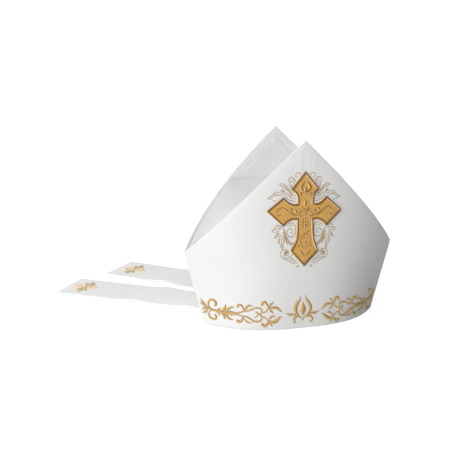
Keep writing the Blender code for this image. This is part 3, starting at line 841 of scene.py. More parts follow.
@dataclass(frozen=True)
class Thread:
    """How strokes are stitched: height and mesh in millimetres, and painted highlight and shade on their
    flanks.
    """

    crown: float = 0.9
    lift: float = 0.05
    step: float = 0.8
    across: int = 6
    fullness: float = 1.0
    # tone sets the whole stroke's tone; glow and shade set the painted highlight and painted shade on its
    # flanks
    tone: float = 0.0
    glow: float = 0.9
    shade: float = 0.7

    def ribbon(self, curve: Grid, widths: Grid, closed: bool = False) -> Part:
        """The crowned ribbon along one flat curve.

        Args:
            curve: Flat points of its middle line, in millimetres.
            widths: Its full width at each.
            closed: Whether it comes back to its start.

        Returns:
            Flat points, their height above the cloth, their tone with painted highlight and shade, the
            faces, and the flat map.
        """
        if closed:
            along = np.roll(curve, -1, axis=0) - np.roll(curve, 1, axis=0)
        else:
            along = np.gradient(curve, axis=0)
        along = along / np.linalg.norm(along, axis=1, keepdims=True)
        sideways = np.stack([-along[:, 1], along[:, 0]], axis=1)
        section = np.linspace(-1, 1, self.across + 1)
        arch = np.sqrt(1 - section ** 2) ** 0.8
        count = len(curve)
        span = self.across + 1
        aside = section[None, :] * widths[:, None] / 2
        flat = curve[:, None, :] + sideways[:, None, :] * aside[:, :, None]
        crowns = self.crown * np.clip(widths / 2.0, 0.35, 1.0)
        height = self.lift + arch[None, :] * crowns[:, None]
        tones = self.tones(sideways[:, None, :] * section[None, :, None])
        places = np.stack(np.broadcast_arrays(lengths_along(curve)[:, None], aside), axis=-1)
        faces = []
        last = count if closed else count - 1
        for i in range(last):
            here = i * span
            there = (i + 1) % count * span
            for j in range(self.across):
                faces.append((here + j, here + j + 1, there + j + 1, there + j))
            faces.append((here + self.across, here, there, there + self.across))
        if not closed:
            faces.append(tuple(range(span)))
            faces.append(tuple((count - 1) * span + j for j in range(span - 1, -1, -1)))
        return flat.reshape(-1, 2), height.ravel(), tones.ravel(), faces, places.reshape(-1, 2)

    def tones(self, flank: Grid) -> Grid:
        """Each place's tone: a painted highlight on flanks that face down to the left, painted shade on the
        opposite ones.
        """
        facing = np.clip(-1.4 * flank.sum(axis=2) / math.sqrt(2), -1, 1)
        return self.tone + self.glow * np.maximum(facing, 0) ** 1.3 - self.shade * np.maximum(-facing, 0)

    def stitched(self, name: str, strokes: Sequence[Stroke], lay: Lay) -> bpy.types.Object:
        """Stitch strokes onto a cloth as one piece.

        Args:
            name: The piece's name.
            strokes: The strokes, in millimetres on the flat cloth.
            lay: Puts flat points and their heights above the cloth in their place, all in metres.

        Returns:
            The new object.
        """
        parts = []
        for stroke in strokes:
            curve = smooth_path(stroke.path, self.step)
            lengths = lengths_along(curve)
            shares, profile = zip(*stroke.form.value)
            widths = np.interp(lengths / lengths[-1], shares, profile) * stroke.width * self.fullness
            parts.append(self.ribbon(curve, widths))
        return laid_parts(name, parts, lay)


def laid_parts(name: str, parts: Sequence[Part], lay: Lay) -> bpy.types.Object:
    """Join flat parts, lay them on the cloth and make one object of them.

    Args:
        name: The piece's name.
        parts: The flat parts, in millimetres.
        lay: Puts flat points and their heights above the cloth in their place, all in metres.

    Returns:
        The new object.
    """
    faces = []
    start = 0
    for flat, _, _, part_faces, _ in parts:
        faces += [tuple(start + corner for corner in face) for face in part_faces]
        start += len(flat)
    flat = np.concatenate([part[0] for part in parts]) * MILLIMETRE
    height = np.concatenate([part[1] for part in parts]) * MILLIMETRE
    tones = np.concatenate([part[2] for part in parts])
    places = np.concatenate([part[4] for part in parts]) * MILLIMETRE
    return new_piece(name, lay(flat[:, 0], flat[:, 1], height), faces, places, tones)


def redrawn(strokes: Sequence[Stroke], scale: Flat = (1.0, 1.0), shift: Flat = (0.0, 0.0),
            slope: float = 0.0) -> list[Stroke]:
    """The same strokes, stretched, then moved, and then lowered.

    Args:
        strokes: The strokes.
        scale: How much they are stretched across and up; below 0 they are turned over.
        shift: How far they are moved across and up.
        slope: How much lower they lie for each millimetre to the right.

    Returns:
        The changed strokes.
    """
    changed = []
    for stroke in strokes:
        path = []
        for x, y in stroke.path:
            x = x * scale[0] + shift[0]
            path.append((x, y * scale[1] + shift[1] - slope * x))
        changed.append(replace(stroke, path=tuple(path)))
    return changed


def both_sides(strokes: Sequence[Stroke], slope: float = 0.0) -> list[Stroke]:
    """The strokes of a right half, which may sit a little lower, with their mirror images."""
    return redrawn(strokes, slope=slope) + redrawn(strokes, scale=(-1.0, 1.0))


STEM, LEAF, CURL, BUD, LINE, BLOB = Form.STEM, Form.LEAF, Form.CURL, Form.BUD, Form.LINE, Form.BLOB

# The right half of the vine is the mirror image of the left, whose strokes are given here by their
# distance from the middle of the front and their height above the rim
VINE = stroke_table(
    (STEM, 3.6, (137, 26), (130, 24.6), (122, 23.6), (114, 22.8), (106, 22.2)),
    (LEAF, 2.2, (136, 26.5), (141, 32), (144, 35.5), (147, 38.5)),
    (LEAF, 3.2, (136, 26.5), (141, 29.5), (147.5, 33)),
    (LEAF, 2.2, (136, 25.5), (141, 25), (146, 22)),
    (LEAF, 3.4, (135.5, 25), (140, 20.5), (144.5, 16.8)),
    (CURL, 2.8, (129, 25), (134.5, 30), (133.5, 36.5), (128.5, 39.2), (123.8, 36.5), (123.6, 32),
     (126, 30.6)),
    (CURL, 2.8, (129, 24), (134.5, 19.5), (133.5, 13.5), (128.5, 10.8), (124, 12.8), (123.6, 16.5),
     (126, 18.2)),
    (LEAF, 2.2, (124, 24.5), (119, 26.5), (116.2, 30.2)),
    (LEAF, 2.2, (123, 23), (119, 20.5), (117, 16.8)),
    (LEAF, 3.0, (118, 23.5), (111.5, 27.5), (108.6, 35.4)),
    (LEAF, 3.0, (117, 23), (112, 18.8), (110, 12.2)),
    (LEAF, 3.4, (111, 22.5), (105.5, 28), (101, 30.8), (96, 31.6)),
    (LEAF, 3.0, (110, 21.5), (106, 16), (102, 13.8), (97, 13.6)),
    (LEAF, 5.2, (111, 22), (104, 22.2), (98, 22.6), (91, 23.8)),
    (STEM, 2.2, (98, 22.4), (91, 23.8), (85, 26), (81, 28)),
    (STEM, 1.8, (99, 21.8), (92, 21.2), (86, 20), (82, 18.8)),
    (CURL, 2.9, (84, 26.5), (84.4, 31), (87.2, 34.8), (91, 34.8), (92.8, 31.4)),
    (CURL, 3.4, (85.5, 20.5), (85.6, 15.5), (88, 12), (91.8, 11.9), (93.4, 14.4)),
    (LEAF, 2.8, (84, 26), (80.5, 31.6), (76, 34.9), (70.8, 33.6)),
    (LEAF, 2.0, (84.5, 18), (80.5, 13), (76.5, 10.9), (71, 11)),
    (STEM, 2.2, (83, 26.3), (76, 28), (70, 30.8), (65, 31.8), (60.6, 30.2), (58.8, 27), (60.2, 23.9),
     (64.2, 21.8), (68, 18)),
    (STEM, 2.6, (85, 19.8), (80, 19), (75, 16.4), (70, 13.2), (64.5, 12.6), (60.2, 14.8), (59, 18.6),
     (61.8, 22.6), (67.4, 26.6)),
    (STEM, 1.9, (59.5, 25.6), (55.5, 25.4), (52.4, 27.6), (50, 31.4)),
    (CURL, 3.2, (50, 30), (51.6, 36), (54.8, 39.2), (58, 38.2), (59, 34.6)),
    (LEAF, 2.2, (50, 31), (47, 36), (41.8, 40.2)),
    (LEAF, 3.4, (50.5, 31), (44, 31.6), (38, 30.8), (34, 27.4), (30.4, 24)),
    (LEAF, 2.4, (49, 30), (46, 26.6), (42.4, 23.4)),
    (STEM, 1.9, (59.5, 19), (55.5, 18.6), (52, 16), (49.6, 13.6)),
    (CURL, 3.8, (49.8, 15), (51.4, 9.4), (54.6, 6.8), (58, 7.8), (59.4, 10.6)),
    (LEAF, 2.4, (50, 14), (46.6, 18.2), (42.6, 19.8), (39, 18.8)),
    (LEAF, 2.0, (49.4, 13), (46.6, 8.4), (43.6, 5.4)),
    (LEAF, 4.2, (49.6, 13.6), (43.4, 11.4), (38.4, 13.4), (34.6, 17.2), (30.6, 18.8)),
)

# The right half of the flower in the middle of the band
FLEUR_HALF = stroke_table(
    (LEAF, 6.2, (2.4, 14.5), (7.6, 19.5), (10.6, 26.5), (8.4, 34), (4.4, 40), (4.0, 46.5)),
    (LEAF, 3.0, (4, 17), (12, 19.6), (25, 22.2)),
    (LEAF, 1.8, (9, 18.8), (15, 19.2), (21, 18.2)),
    (CURL, 3.8, (3, 15), (8.2, 16.4), (12.4, 14.2), (12.6, 10.4), (10, 8.2)),
    (STEM, 1.0, (0.6, 11), (1.6, 14), (3.4, 17.5)),
)
FLEUR_MIDDLE = stroke_table(
    (BUD, 9.6, (0, 17.6), (0, 26), (0, 37.8)),
    (STEM, 1.6, (0, 11), (0, 15), (0, 19)),
)

# The right half of the engraved stitching on the cross
CROSS_STITCHES = stroke_table(
    (LEAF, 3.0, (1, 187.5), (6, 192), (5, 197), (0.6, 203.5)),
    (CURL, 1.5, (1.5, 186.6), (4, 187.8), (7, 186), (6.8, 183.6), (5, 183.8)),
    (LEAF, 1.4, (0, 161), (2.6, 165.4), (6.4, 169)),
    (LEAF, 1.2, (0, 160.6), (4, 164), (8.8, 165.6)),
    (CURL, 1.5, (0.4, 155.4), (2.6, 160.6), (6.6, 161.6), (9, 158.8), (7.8, 155.4), (5, 156), (5.4, 158.4)),
    (LEAF, 2.0, (13, 158.6), (12.8, 162.4), (15.6, 166.4)),
    (CURL, 2.2, (15.6, 159), (19.4, 160.6), (19.8, 164.4), (17.2, 166.6)),
    (STEM, 1.6, (10, 156.6), (15, 157.4), (20.4, 159.6), (24.4, 163.2), (28, 166.8), (33, 168.2), (38, 165),
     (38.8, 160.4), (36.6, 157.4), (33.6, 158.8), (34.4, 161)),
    (LEAF, 1.5, (0, 152.6), (2.6, 150.6), (5.4, 147.4)),
    (LEAF, 1.5, (0, 148.4), (2.8, 146.2), (5.8, 142.6)),
    (LEAF, 1.5, (0, 144), (3, 141.4), (5.4, 137.6)),
    (STEM, 1.2, (6.4, 136.6), (3, 133.2), (0.4, 130.4), (-3.4, 127.8)),
    (STEM, 1.4, (0, 130.6), (5, 127), (7.4, 121.8), (4.6, 116), (0, 111.4)),
    (STEM, 1.0, (0, 127), (3.4, 122), (0, 116.8)),
    (CURL, 1.5, (4.6, 112.4), (8.6, 115.4), (9.8, 112.2)),
    (LEAF, 2.0, (1.4, 102.4), (5.4, 105.6), (7.8, 111)),
    (LEAF, 1.4, (0.6, 100), (3.4, 103), (3.6, 107.6)),
)
CROSS_STITCHES_MIDDLE = stroke_table(
    (BUD, 3.0, (0, 185.6), (0, 190), (0, 196.4)),
    (BUD, 3.6, (0, 168), (0, 172.6), (0, 178.8)),
    (LINE, 1.1, (0, 160), (0, 150), (0, 146)),
    (BUD, 2.8, (0, 146.6), (0, 142.6), (0, 136.8)),
    (BLOB, 2.4, (0, 117.6), (0, 119.4), (0, 121)),
)

# The right half of the outline scrollwork round the cross
SCROLLS = stroke_table(
    (LINE, 0.9, (6.6, 211.6), (9.6, 214.2), (13, 212.8), (13.6, 209.4), (11.6, 208.4)),
    (LINE, 0.9, (13.6, 202), (16, 207), (20.6, 208.4), (23.4, 205), (21.6, 201.8), (18.8, 203),
     (19.8, 205.2)),
    (LINE, 0.9, (19.6, 194), (21.6, 198), (21, 201.4)),
    (LINE, 0.9, (20.6, 188), (25, 193), (28.6, 198.4), (32.2, 200.6), (35.4, 198.8), (33, 197.6),
     (30.8, 195), (29.6, 191), (27, 186.4)),
    (LINE, 0.8, (23, 189.6), (26.6, 193.4), (29.8, 197.6)),
    (LINE, 0.9, (31.6, 184.6), (36, 188.8), (41.6, 189.6), (44, 186.4), (47.4, 183.6), (51, 181.4),
     (46.6, 180.4), (42.6, 177.8), (39.6, 178.4)),
    (LINE, 0.8, (33, 183.4), (38.6, 186), (43, 184), (47, 182)),
    (LINE, 0.8, (30.6, 186), (32, 190.4), (35, 191.4)),
    (LINE, 0.9, (28.6, 186.6), (24.6, 180.4), (19, 176.8), (12.4, 175.6)),
    (LINE, 0.9, (26, 189.4), (22.4, 183.4), (17.6, 180), (12.6, 179)),
    (LINE, 0.9, (22.6, 190), (19.6, 185.6), (16.4, 183.4), (13.4, 183.4)),
    (LINE, 0.8, (21.4, 182.4), (18, 185.4), (20.6, 187.6), (22.8, 185.8)),
    (LINE, 0.9, (30, 141.6), (35.6, 143.6), (40.4, 143), (41.4, 140), (45, 137), (41, 135.2), (37.4, 136),
     (33.4, 138.8)),
    (LINE, 0.8, (32, 140), (37, 140.2), (42, 138)),
    (LINE, 0.9, (35.6, 134.6), (39.4, 131.6), (41.6, 127.2), (37.6, 128.4), (34.4, 131.4)),
    (LINE, 0.9, (32.8, 131.6), (35.4, 125.6), (34.2, 119), (30.4, 111), (29.8, 118), (28.8, 125),
     (31, 130.6)),
    (LINE, 0.8, (31.8, 128), (32, 121), (30.6, 114)),
    (LINE, 1.0, (25, 143.4), (19.4, 146.6), (14.4, 144.6), (13, 138), (13.4, 131.6), (17, 127.4),
     (22.4, 128.6), (24.8, 133.6), (22.6, 138), (18.6, 138.2), (16.6, 135), (18.4, 132.2), (20.8, 133.6)),
    (LINE, 0.9, (30.6, 140), (27.6, 134), (25.6, 127.6), (21.4, 121.6), (16, 118.6), (13.4, 118.4)),
    (LINE, 0.9, (29, 137), (27.4, 130), (25, 124), (21, 118.6), (17.6, 114.6)),
    (LEAF, 1.2, (28.6, 129.6), (26.4, 124.8), (22.4, 122.8)),
    (LEAF, 1.2, (26.4, 124), (23, 120.4), (19.4, 119.8)),
    (LINE, 0.9, (29.6, 127), (25.6, 120.6), (23.6, 117.4)),
    (BLOB, 5.6, (25.4, 103.4), (27, 105.6), (28.4, 107)),
    (LINE, 1.0, (33, 103.6), (31.8, 108.8), (26.4, 110.4), (22.2, 107), (23.2, 102.6), (27.6, 101.4)),
    (LINE, 0.9, (33, 103.6), (31, 100), (26, 98.6), (21, 97.6), (16.6, 94.4), (12, 91.6), (9, 90.8)),
    (LINE, 0.9, (23, 101.2), (19.4, 100), (15.4, 96.4), (11.4, 94.2)),
    (LINE, 0.8, (19.4, 101.2), (17, 103.6), (18.2, 106)),
    (LINE, 0.8, (14, 197.6), (16.4, 200.4), (16, 204.6), (18.6, 206.6)),
    (LINE, 0.8, (17.6, 193.4), (19.4, 196.4), (19.2, 200.2)),
    (LINE, 0.8, (21.8, 186), (21.4, 190.4), (23.8, 194.6), (26.4, 198.2)),
    (LINE, 0.8, (30.4, 187.6), (30.6, 191.6), (33.6, 190.2)),
    (LINE, 0.8, (15.4, 186.4), (18.4, 188.6), (20.8, 192.4)),
    (LINE, 0.8, (36.4, 184.8), (40.4, 186.6), (43.6, 186.2)),
    (LINE, 0.8, (28, 139.6), (26.4, 131.6), (23.8, 125.6), (19.6, 120), (14.8, 116.6)),
    (LINE, 0.8, (30.2, 134.6), (28.2, 128.4), (28.8, 122), (30.8, 116)),
    (LEAF, 1.1, (27.6, 128.4), (24.8, 127), (22, 127.4)),
    (LEAF, 1.1, (25.6, 122), (22.6, 119.8), (20.6, 120.6)),
    (LEAF, 1.1, (22.4, 118.6), (19.6, 116.8), (16.4, 117.8)),
    (LINE, 0.8, (22.4, 141), (19.6, 143.6), (16.6, 142.4)),
    (LINE, 0.8, (34.2, 142.2), (37.8, 144.6), (39.6, 143.4)),
    (LINE, 0.8, (35, 133.4), (37.6, 131.8), (39.4, 129.2)),
    (LINE, 0.8, (33.6, 126), (36.4, 122.6), (35.6, 119.6)),
    (LINE, 0.8, (30, 98.4), (24, 95.8), (17.4, 91.6), (12.6, 89.6)),
    (LEAF, 1.8, (7.4, 87.6), (9.6, 86.4), (12, 87)),
)

# One quarter of the small flowered cross near a lappet's tip: along the lappet and across it
TIP_QUARTER = stroke_table(
    (LEAF, 4.4, (0.4, 0.6), (9.0, 2.8), (20.6, 0.4)),
    (LEAF, 4.4, (0.6, 0.4), (3.0, 10.4), (0.4, 26.4)),
    (CURL, 2.6, (6.4, 3.4), (10.6, 6.6), (14.4, 5.8)),
    (CURL, 2.6, (3.6, 7.4), (7.2, 12.4), (6.0, 17.6)),
)


# The cloth: the stiff panels, the web, the linings and the lappets

@dataclass(frozen=True)
class Panels:
    """The front and rear panels: satin folded round a stiffener, with pressed round edges."""

    shell: Shell
    columns: int = 151
    rows: int = 84
    pressing: float = 0.5
    pressed_length: float = 0.008
    rim_lift: float = 0.00255
    lift_share: float = 0.70
    lift_fade: float = 0.2
    slant_share: float = 0.75

    def rim_height(self, side: Side, shares: Grid) -> Grid:
        """Height of the rim at each share: the rear rim is lifted over the lappets.

        Args:
            side: The front or the rear.
            shares: From -1 at the left seam to 1 at the right seam.

        Returns:
            The heights.
        """
        if side is Side.FRONT:
            return np.zeros(shares.shape)
        return self.rim_lift * (1 - smooth_step((np.abs(shares) - self.lift_share) / self.lift_fade))

    def build(self, side: Side, satin: bpy.types.Material) -> bpy.types.Object:
        """Build one panel.

        Args:
            side: The front or the rear.
            satin: Its material.

        Returns:
            The panel.
        """
        shell = self.shell
        radius = shell.wall / 2
        reach = shell.arcs(shell.corner_height / 2)[1][0, -1]
        along = edge_rows(self.columns, 2 * reach, radius)
        distances = (2 * along - 1) * reach
        shares = shell.share_on_arc(distances, np.full(len(along), shell.corner_height / 2))
        shares[0] = -1.0
        shares[-1] = 1.0
        rim = self.rim_height(side, shares)
        top = shell.top_edge(shares)
        up = edge_rows(self.rows, shell.peak_height, radius)
        height = rim + (top - rim) * up[:, None]
        from_rim = height - rim
        from_top = (top - height) * self.slant_share
        from_seam = reach - np.abs(distances) + 0 * height
        pressed = 1 - self.pressing * (1 - smooth_step(from_top / self.pressed_length))
        upright = np.minimum(rounded(from_rim, radius), pressed * rounded(from_top, radius / 2))
        thickness = np.minimum(upright, rounded(from_seam, radius))
        share_grid = shares + 0 * height
        proud = shell.pucker(share_grid, height) if side is Side.FRONT else 0.0
        outer = shell.point(side, share_grid, height, thickness * radius + proud)
        inner = shell.point(side, share_grid, height, -thickness * radius)
        for border in (np.s_[0], np.s_[-1], np.s_[:, 0], np.s_[:, -1]):
            inner[border] = outer[border]
        flat = np.stack(np.broadcast_arrays(distances + 0 * height, height), axis=-1)
        node = f"{side.word}_panel"
        return dress(closed_sheet(node + "_satin", outer, inner, flat), satin, "white_satin", node)


@dataclass(frozen=True)
class Web:
    """The folded cloth between the horns, which hangs from their edges and dips to a valley."""

    shell: Shell
    thickness: float = 0.001
    top_height: float = 0.188
    valley_rise: float = 0.018
    edge_drop: float = 0.0012
    slack: float = 1.35
    end_share: float = 0.975
    gap: float = 0.0003
    sewn: float = 0.0012
    sewn_on_lining: float = 0.0004
    cling: float = 0.12
    turn: float = 0.004
    selvage: float = 0.0003
    thin_edge: float = 0.4
    easing: float = 0.010
    top_ease: float = 0.0012
    crease_start: float = 0.25
    crease_spread: float = 0.5
    crease_reach: float = 0.09
    crease_rise: float = 0.0016
    wave_rise: float = 0.0012
    wave_turns: float = 55.0
    columns: int = 121
    rows: int = 90
    flat_width: float = 0.300
    flat_length: float = 0.206

    def surface(self) -> tuple[Grid, Grid]:
        """The middle of the cloth as it hangs.

        Returns:
            Rows of points from the front to the rear, and how far each has left its panel, from 0 to 1.
        """
        shell = self.shell
        inset = shell.wall / 2 + 1.5 * self.gap + self.thickness / 2
        reach = shell.arcs(shell.corner_height / 2)[1][0, -1]
        columns = 2 * edge_rows(self.columns, 2 * reach, self.selvage, 2) - 1
        half_up = np.full(len(columns), shell.corner_height / 2)
        shares = shell.share_on_arc(columns * reach, half_up) * self.end_share
        slant = shell.top_edge(shares)
        edge = soft_minimum(slant, self.top_height, self.top_ease) - self.edge_drop
        eased = soft_minimum(slant, self.top_height, self.easing) - self.edge_drop
        hung = shell.point(Side.REAR, shares, edge, -inset)
        across_x = hung[:, 0] - shell.middle_x
        bow = 1 - (across_x / shell.corner_half_width) ** 2
        valley = (shell.corner_height + self.valley_rise * bow) * (1 - shell.side_lean * shares)
        across = (2 * edge_rows(self.rows, 2 * self.flat_length / 3, self.selvage, 2) - 1)[:, None]
        depth = (hung[:, 1] - shell.middle_y)[None, :]
        fall = np.abs(across) ** self.slack
        sag = (eased - edge) * (1 - shell.side_lean * shares) * (1 - fall ** 8)
        z = valley + (hung[:, 2] + sag - valley) * fall + self.folds(across, across_x[None, :])
        away = smooth_step((1 - np.abs(across)) * depth / self.turn)
        on_panel = smooth_step((self.top_height - slant) / self.easing)
        sewn = self.sewn_on_lining + (self.sewn - self.sewn_on_lining) * on_panel
        inwards = 1 - np.abs(across)
        left_wall = inwards ** 2 / (inwards + self.cling) * (1 + self.cling)
        y = shell.middle_y + np.sign(across) * ((1 - left_wall) * depth + sewn * (1 - away))
        return np.stack(np.broadcast_arrays(hung[:, 0] + 0 * y, y, z), axis=-1), away

    def build(self, cloth: bpy.types.Material) -> bpy.types.Object:
        """Build the web.

        Args:
            cloth: Its material.

        Returns:
            The web.
        """
        grid, away = self.surface()
        normals = surface_normals(grid)
        thin = self.thin_edge + (1 - self.thin_edge) * away
        thickness = thin * self.thickness / 2 * soft_border(away.shape, 2)
        step = normals * thickness[:, :, None]
        runs = np.cumsum(np.linalg.norm(np.diff(grid, axis=0, prepend=grid[:1]), axis=2), axis=0)
        flat = np.stack([grid[:, :, 0] - self.shell.middle_x, runs], axis=-1)
        piece = closed_sheet("gusset_web_cloth", grid + step, grid - step, flat)
        piece = dress(piece, cloth, "grey_lining", "gusset_web")
        return piece

    def folds(self, across: Grid, x: Grid) -> Grid:
        """Soft creases that run out to the corners, deepest half way up each side of the web.

        Args:
            across: From -1 at the front panel to 1 at the rear one.
            x: Distance from the middle, to the right.

        Returns:
            How far they raise the cloth.
        """
        hang = (1 - np.abs(across)) * np.abs(across) * 4
        slant = np.abs(x) / self.shell.corner_half_width
        place = self.crease_start + self.crease_spread * slant
        crease = np.exp(-((np.abs(across) - place) / self.crease_reach) ** 2)
        return hang * (self.crease_rise * crease - self.wave_rise * np.cos(x * self.wave_turns))


@dataclass(frozen=True)
class HornLining:
    """The lining of a horn's inner face, above the web and inside the turned hem."""

    shell: Shell
    thickness: float = 0.0005
    hem_width: float = 0.010
    foot: float = 0.1836
    above_web: float = 0.1866
    turn: float = 0.005
    selvage: float = 0.0003
    thin_edge: float = 0.2
    gap: float = 0.00015
    columns: int = 61
    rows: int = 30

    def build(self, side: Side, cloth: bpy.types.Material) -> bpy.types.Object:
        """Build the lining of one horn.

        Args:
            side: The front or the rear.
            cloth: Its material.

        Returns:
            The lining.
        """
        shell = self.shell
        slope = (shell.peak_height - shell.corner_height) / shell.corner_half_width
        hem_height = self.hem_width * math.hypot(1, slope)
        candidates = np.linspace(0, 1, ARC_SAMPLES)
        tall = shell.top_edge(candidates) - hem_height > self.foot + 2 * self.thickness
        end_share = float(candidates[tall].max())
        foot_width = 2 * shell.half_width(self.foot)
        shares = (2 * edge_rows(self.columns, foot_width, self.selvage, 2) - 1) * end_share
        top = shell.top_edge(shares) - hem_height
        up = edge_rows(self.rows, shell.peak_height - self.foot, self.selvage, 2)[:, None]
        height = self.foot + (top - self.foot) * up
        share_grid = shares + 0 * height
        inside = np.minimum(height - self.above_web, top - height)
        puff = smooth_step(inside / self.turn)
        middle = -(shell.wall / 2 + self.gap + puff * self.thickness / 2)
        thin = self.thin_edge + (1 - self.thin_edge) * puff
        edge = thin * self.thickness / 2 * soft_border(height.shape, 2)
        upper = shell.point(side, share_grid, height, middle + edge)
        lower = shell.point(side, share_grid, height, middle - edge)
        flat = np.stack([share_grid * shell.half_width(height), height], axis=-1)
        piece = closed_sheet(f"{side.word}_horn_lining", upper, lower, flat)
        piece = dress(piece, cloth, "grey_lining", f"lining_{side.word}")
        area = float(np.trapz(top - self.foot, shares * shell.half_width(self.foot)))
        return piece


@dataclass(frozen=True)
class Ripple:
    """A soft fold of a lappet: its middle and half length, as shares of the floor stretch, and its rise."""

    middle: float
    reach: float
    rise: float


@dataclass(frozen=True)
class Lappet:
    """A lappet: its head inside the rear panel, a bend under the rim and the long stretch on the floor."""

    shell: Shell
    node: str
    side: int
    floor_share: float
    leaving: float
    ending: float
    ripples: tuple[Ripple, ...]
    width: float = 0.077
    length: float = 0.336
    thickness: float = 0.002
    spacing: float = 0.084
    clearance: float = 0.0004
    bend_radius: float = 0.0015
    edge_radius: float = 0.0004
    undercut: float = 0.006
    spread_length: float = 0.050
    columns: int = 30
    step: float = 0.0024
    motif_inset: float = 0.028
    fold_slant: float = 0.25
    bend_steps: int = 6
    rim_steps: int = 3
    tip_steps: int = 4

    @property
    def floor_length(self) -> float:
        """The length of the stretch on the floor."""
        return self.length * self.floor_share

    @property
    def under_rim(self) -> float:
        """How far the lappet runs straight back before it has passed under the rim."""
        return self.shell.wall + 2 * self.clearance + self.thickness / 2

    def inside_wall(self, x: Grid, z: Grid) -> Grid:
        """Places in the middle of the lappet where it lies against the rear panel's inner face.

        Args:
            x: Distance from the middle, to the right.
            z: Height above the floor.

        Returns:
            The places, with x, y and z along the last axis.
        """
        offset = -(self.shell.wall / 2 + self.clearance + self.thickness / 2)
        x, z = np.broadcast_arrays(x, z)
        width = self.shell.point(Side.REAR, 1.0, z, offset)[..., 0] - self.shell.middle_x
        share = x / width
        height = z / (1 - self.shell.side_lean * share)
        point = self.shell.point(Side.REAR, share, height, offset)
        return np.stack([self.shell.middle_x + x, point[..., 1], z + 0 * x], axis=-1)

    def line(self) -> tuple[Grid, Grid, Grid, Grid]:
        """Stations along the floor, the middle line's x and y at each, and its heading.

        Returns:
            The stations, x, y and the heading in radians.
        """
        stations = np.linspace(0, self.floor_length, ARC_SAMPLES)
        turn = np.radians(self.leaving + (self.ending - self.leaving) * stations / self.floor_length)
        heading = np.where(stations < self.under_rim, 0.0, turn)
        gap = stations[1]
        start = self.inside_wall(self.head_x, self.thickness / 2)
        x = start[0] + np.concatenate([[0], np.cumsum(-np.sin(heading[:-1]) * gap)])
        y = start[1] + self.bend_radius + np.concatenate([[0], np.cumsum(np.cos(heading[:-1]) * gap)])
        return stations, x, y, turn

    @property
    def head_x(self) -> float:
        """Where the lappet's middle is sewn, across from the middle of the back."""
        return self.side * self.spacing / 2

    def ripple(self, station: Grid, across: Grid) -> Grid:
        """How far the soft folds lift the cloth off the floor; each crosses the lappet at a slant.

        Args:
            station: Distance along the floor stretch.
            across: Distance from the lappet's middle line.

        Returns:
            The lift.
        """
        lift = np.zeros(np.broadcast(station, across).shape)
        for fold in self.ripples:
            place = station / self.floor_length + self.fold_slant * across / self.floor_length
            away = np.minimum(np.abs(place - fold.middle) / fold.reach, 1)
            lift = lift + fold.rise * (0.5 + 0.5 * np.cos(np.pi * away))
        return lift

    def on_floor(self, station: Grid, across: Grid, above: Grid = 0.0) -> Grid:
        """Places along the stretch on the floor, above the middle of the cloth.

        Args:
            station: Distance along the floor stretch.
            across: Distance from the lappet's middle line.
            above: Height above the middle of the cloth.

        Returns:
            The places, with x, y and z along the last axis.
        """
        stations, line_x, line_y, turns = self.line()
        x = np.interp(station, stations, line_x)
        y = np.interp(station, stations, line_y)
        turn = np.interp(station, stations, turns)
        spread = smooth_step((station - self.under_rim) / self.spread_length)
        middle = self.inside_wall(self.head_x, self.thickness / 2)
        beside = self.inside_wall(self.head_x + across, self.thickness / 2)
        x = x + (1 - spread) * (beside[..., 0] - middle[0]) + spread * across * np.cos(turn)
        y = y + (1 - spread) * (beside[..., 1] - middle[1]) + spread * across * np.sin(turn)
        z = self.thickness / 2 + self.ripple(station, across) + above
        return np.stack(np.broadcast_arrays(x, y, z), axis=-1)

    def middle_surface(self, across: Grid) -> tuple[Grid, Grid]:
        """Rows of points in the middle of the cloth, from its head to its tip.

        Args:
            across: Distances from the lappet's middle line.

        Returns:
            The rows, and the distance of each from the head.
        """
        tuck = self.length - self.floor_length
        foot = self.thickness / 2 + self.bend_radius
        rows = []
        down = []
        for height in np.linspace(tuck, foot, max(3, round((tuck - foot) / self.step)), endpoint=False):
            rows.append(self.inside_wall(self.head_x + across, height))
            down.append(tuck - height)
        for quarter in np.linspace(0, 1, self.bend_steps, endpoint=False):
            angle = quarter * math.pi / 2
            row = self.inside_wall(self.head_x + across, foot)
            row[:, 1] += self.bend_radius * (1 - math.cos(angle))
            row[:, 2] = foot - self.bend_radius * math.sin(angle)
            rows.append(row)
            down.append(tuck - foot + self.bend_radius * angle)
        bend_end = tuck - foot + self.bend_radius * math.pi / 2
        inside = np.linspace(0, self.under_rim, self.rim_steps + 1)[:-1]
        open_run = np.linspace(self.under_rim, self.floor_length - self.thickness / 2,
                               round(self.floor_length / self.step))
        angles = np.linspace(0, math.pi / 2, self.tip_steps + 1)[1:]
        tip = self.floor_length - self.thickness / 2 * (1 - np.sin(angles))
        for station in np.concatenate([inside, open_run, tip]):
            rows.append(self.on_floor(np.full(across.shape, station), across))
            down.append(bend_end + station)
        return np.array(rows), np.array(down)

    def build(self, satin: bpy.types.Material) -> bpy.types.Object:
        """Build the lappet.

        Args:
            satin: Its material.

        Returns:
            The lappet.
        """
        radius = self.thickness / 2
        shares = edge_rows(self.columns, self.width, self.edge_radius)
        across = (shares - 0.5) * self.width
        grid, down = self.middle_surface(across)
        from_side = np.minimum(shares, 1 - shares) * self.width + 0 * down[:, None]
        from_end = np.minimum(down, down[-1] - down)[:, None] + 0 * across
        normals = surface_normals(grid)
        inside = np.minimum(from_side, from_end)
        upper = grid + normals * (rounded(inside, self.edge_radius) * radius)[:, :, None]
        lower = grid - normals * (rounded(inside, self.undercut) * radius)[:, :, None]
        flat = np.stack(np.broadcast_arrays(across + 0 * down[:, None], down[:, None]), axis=-1)
        piece = closed_sheet(self.node + "_satin", upper, lower, flat)
        piece = dress(piece, satin, "white_satin", self.node)
        return piece

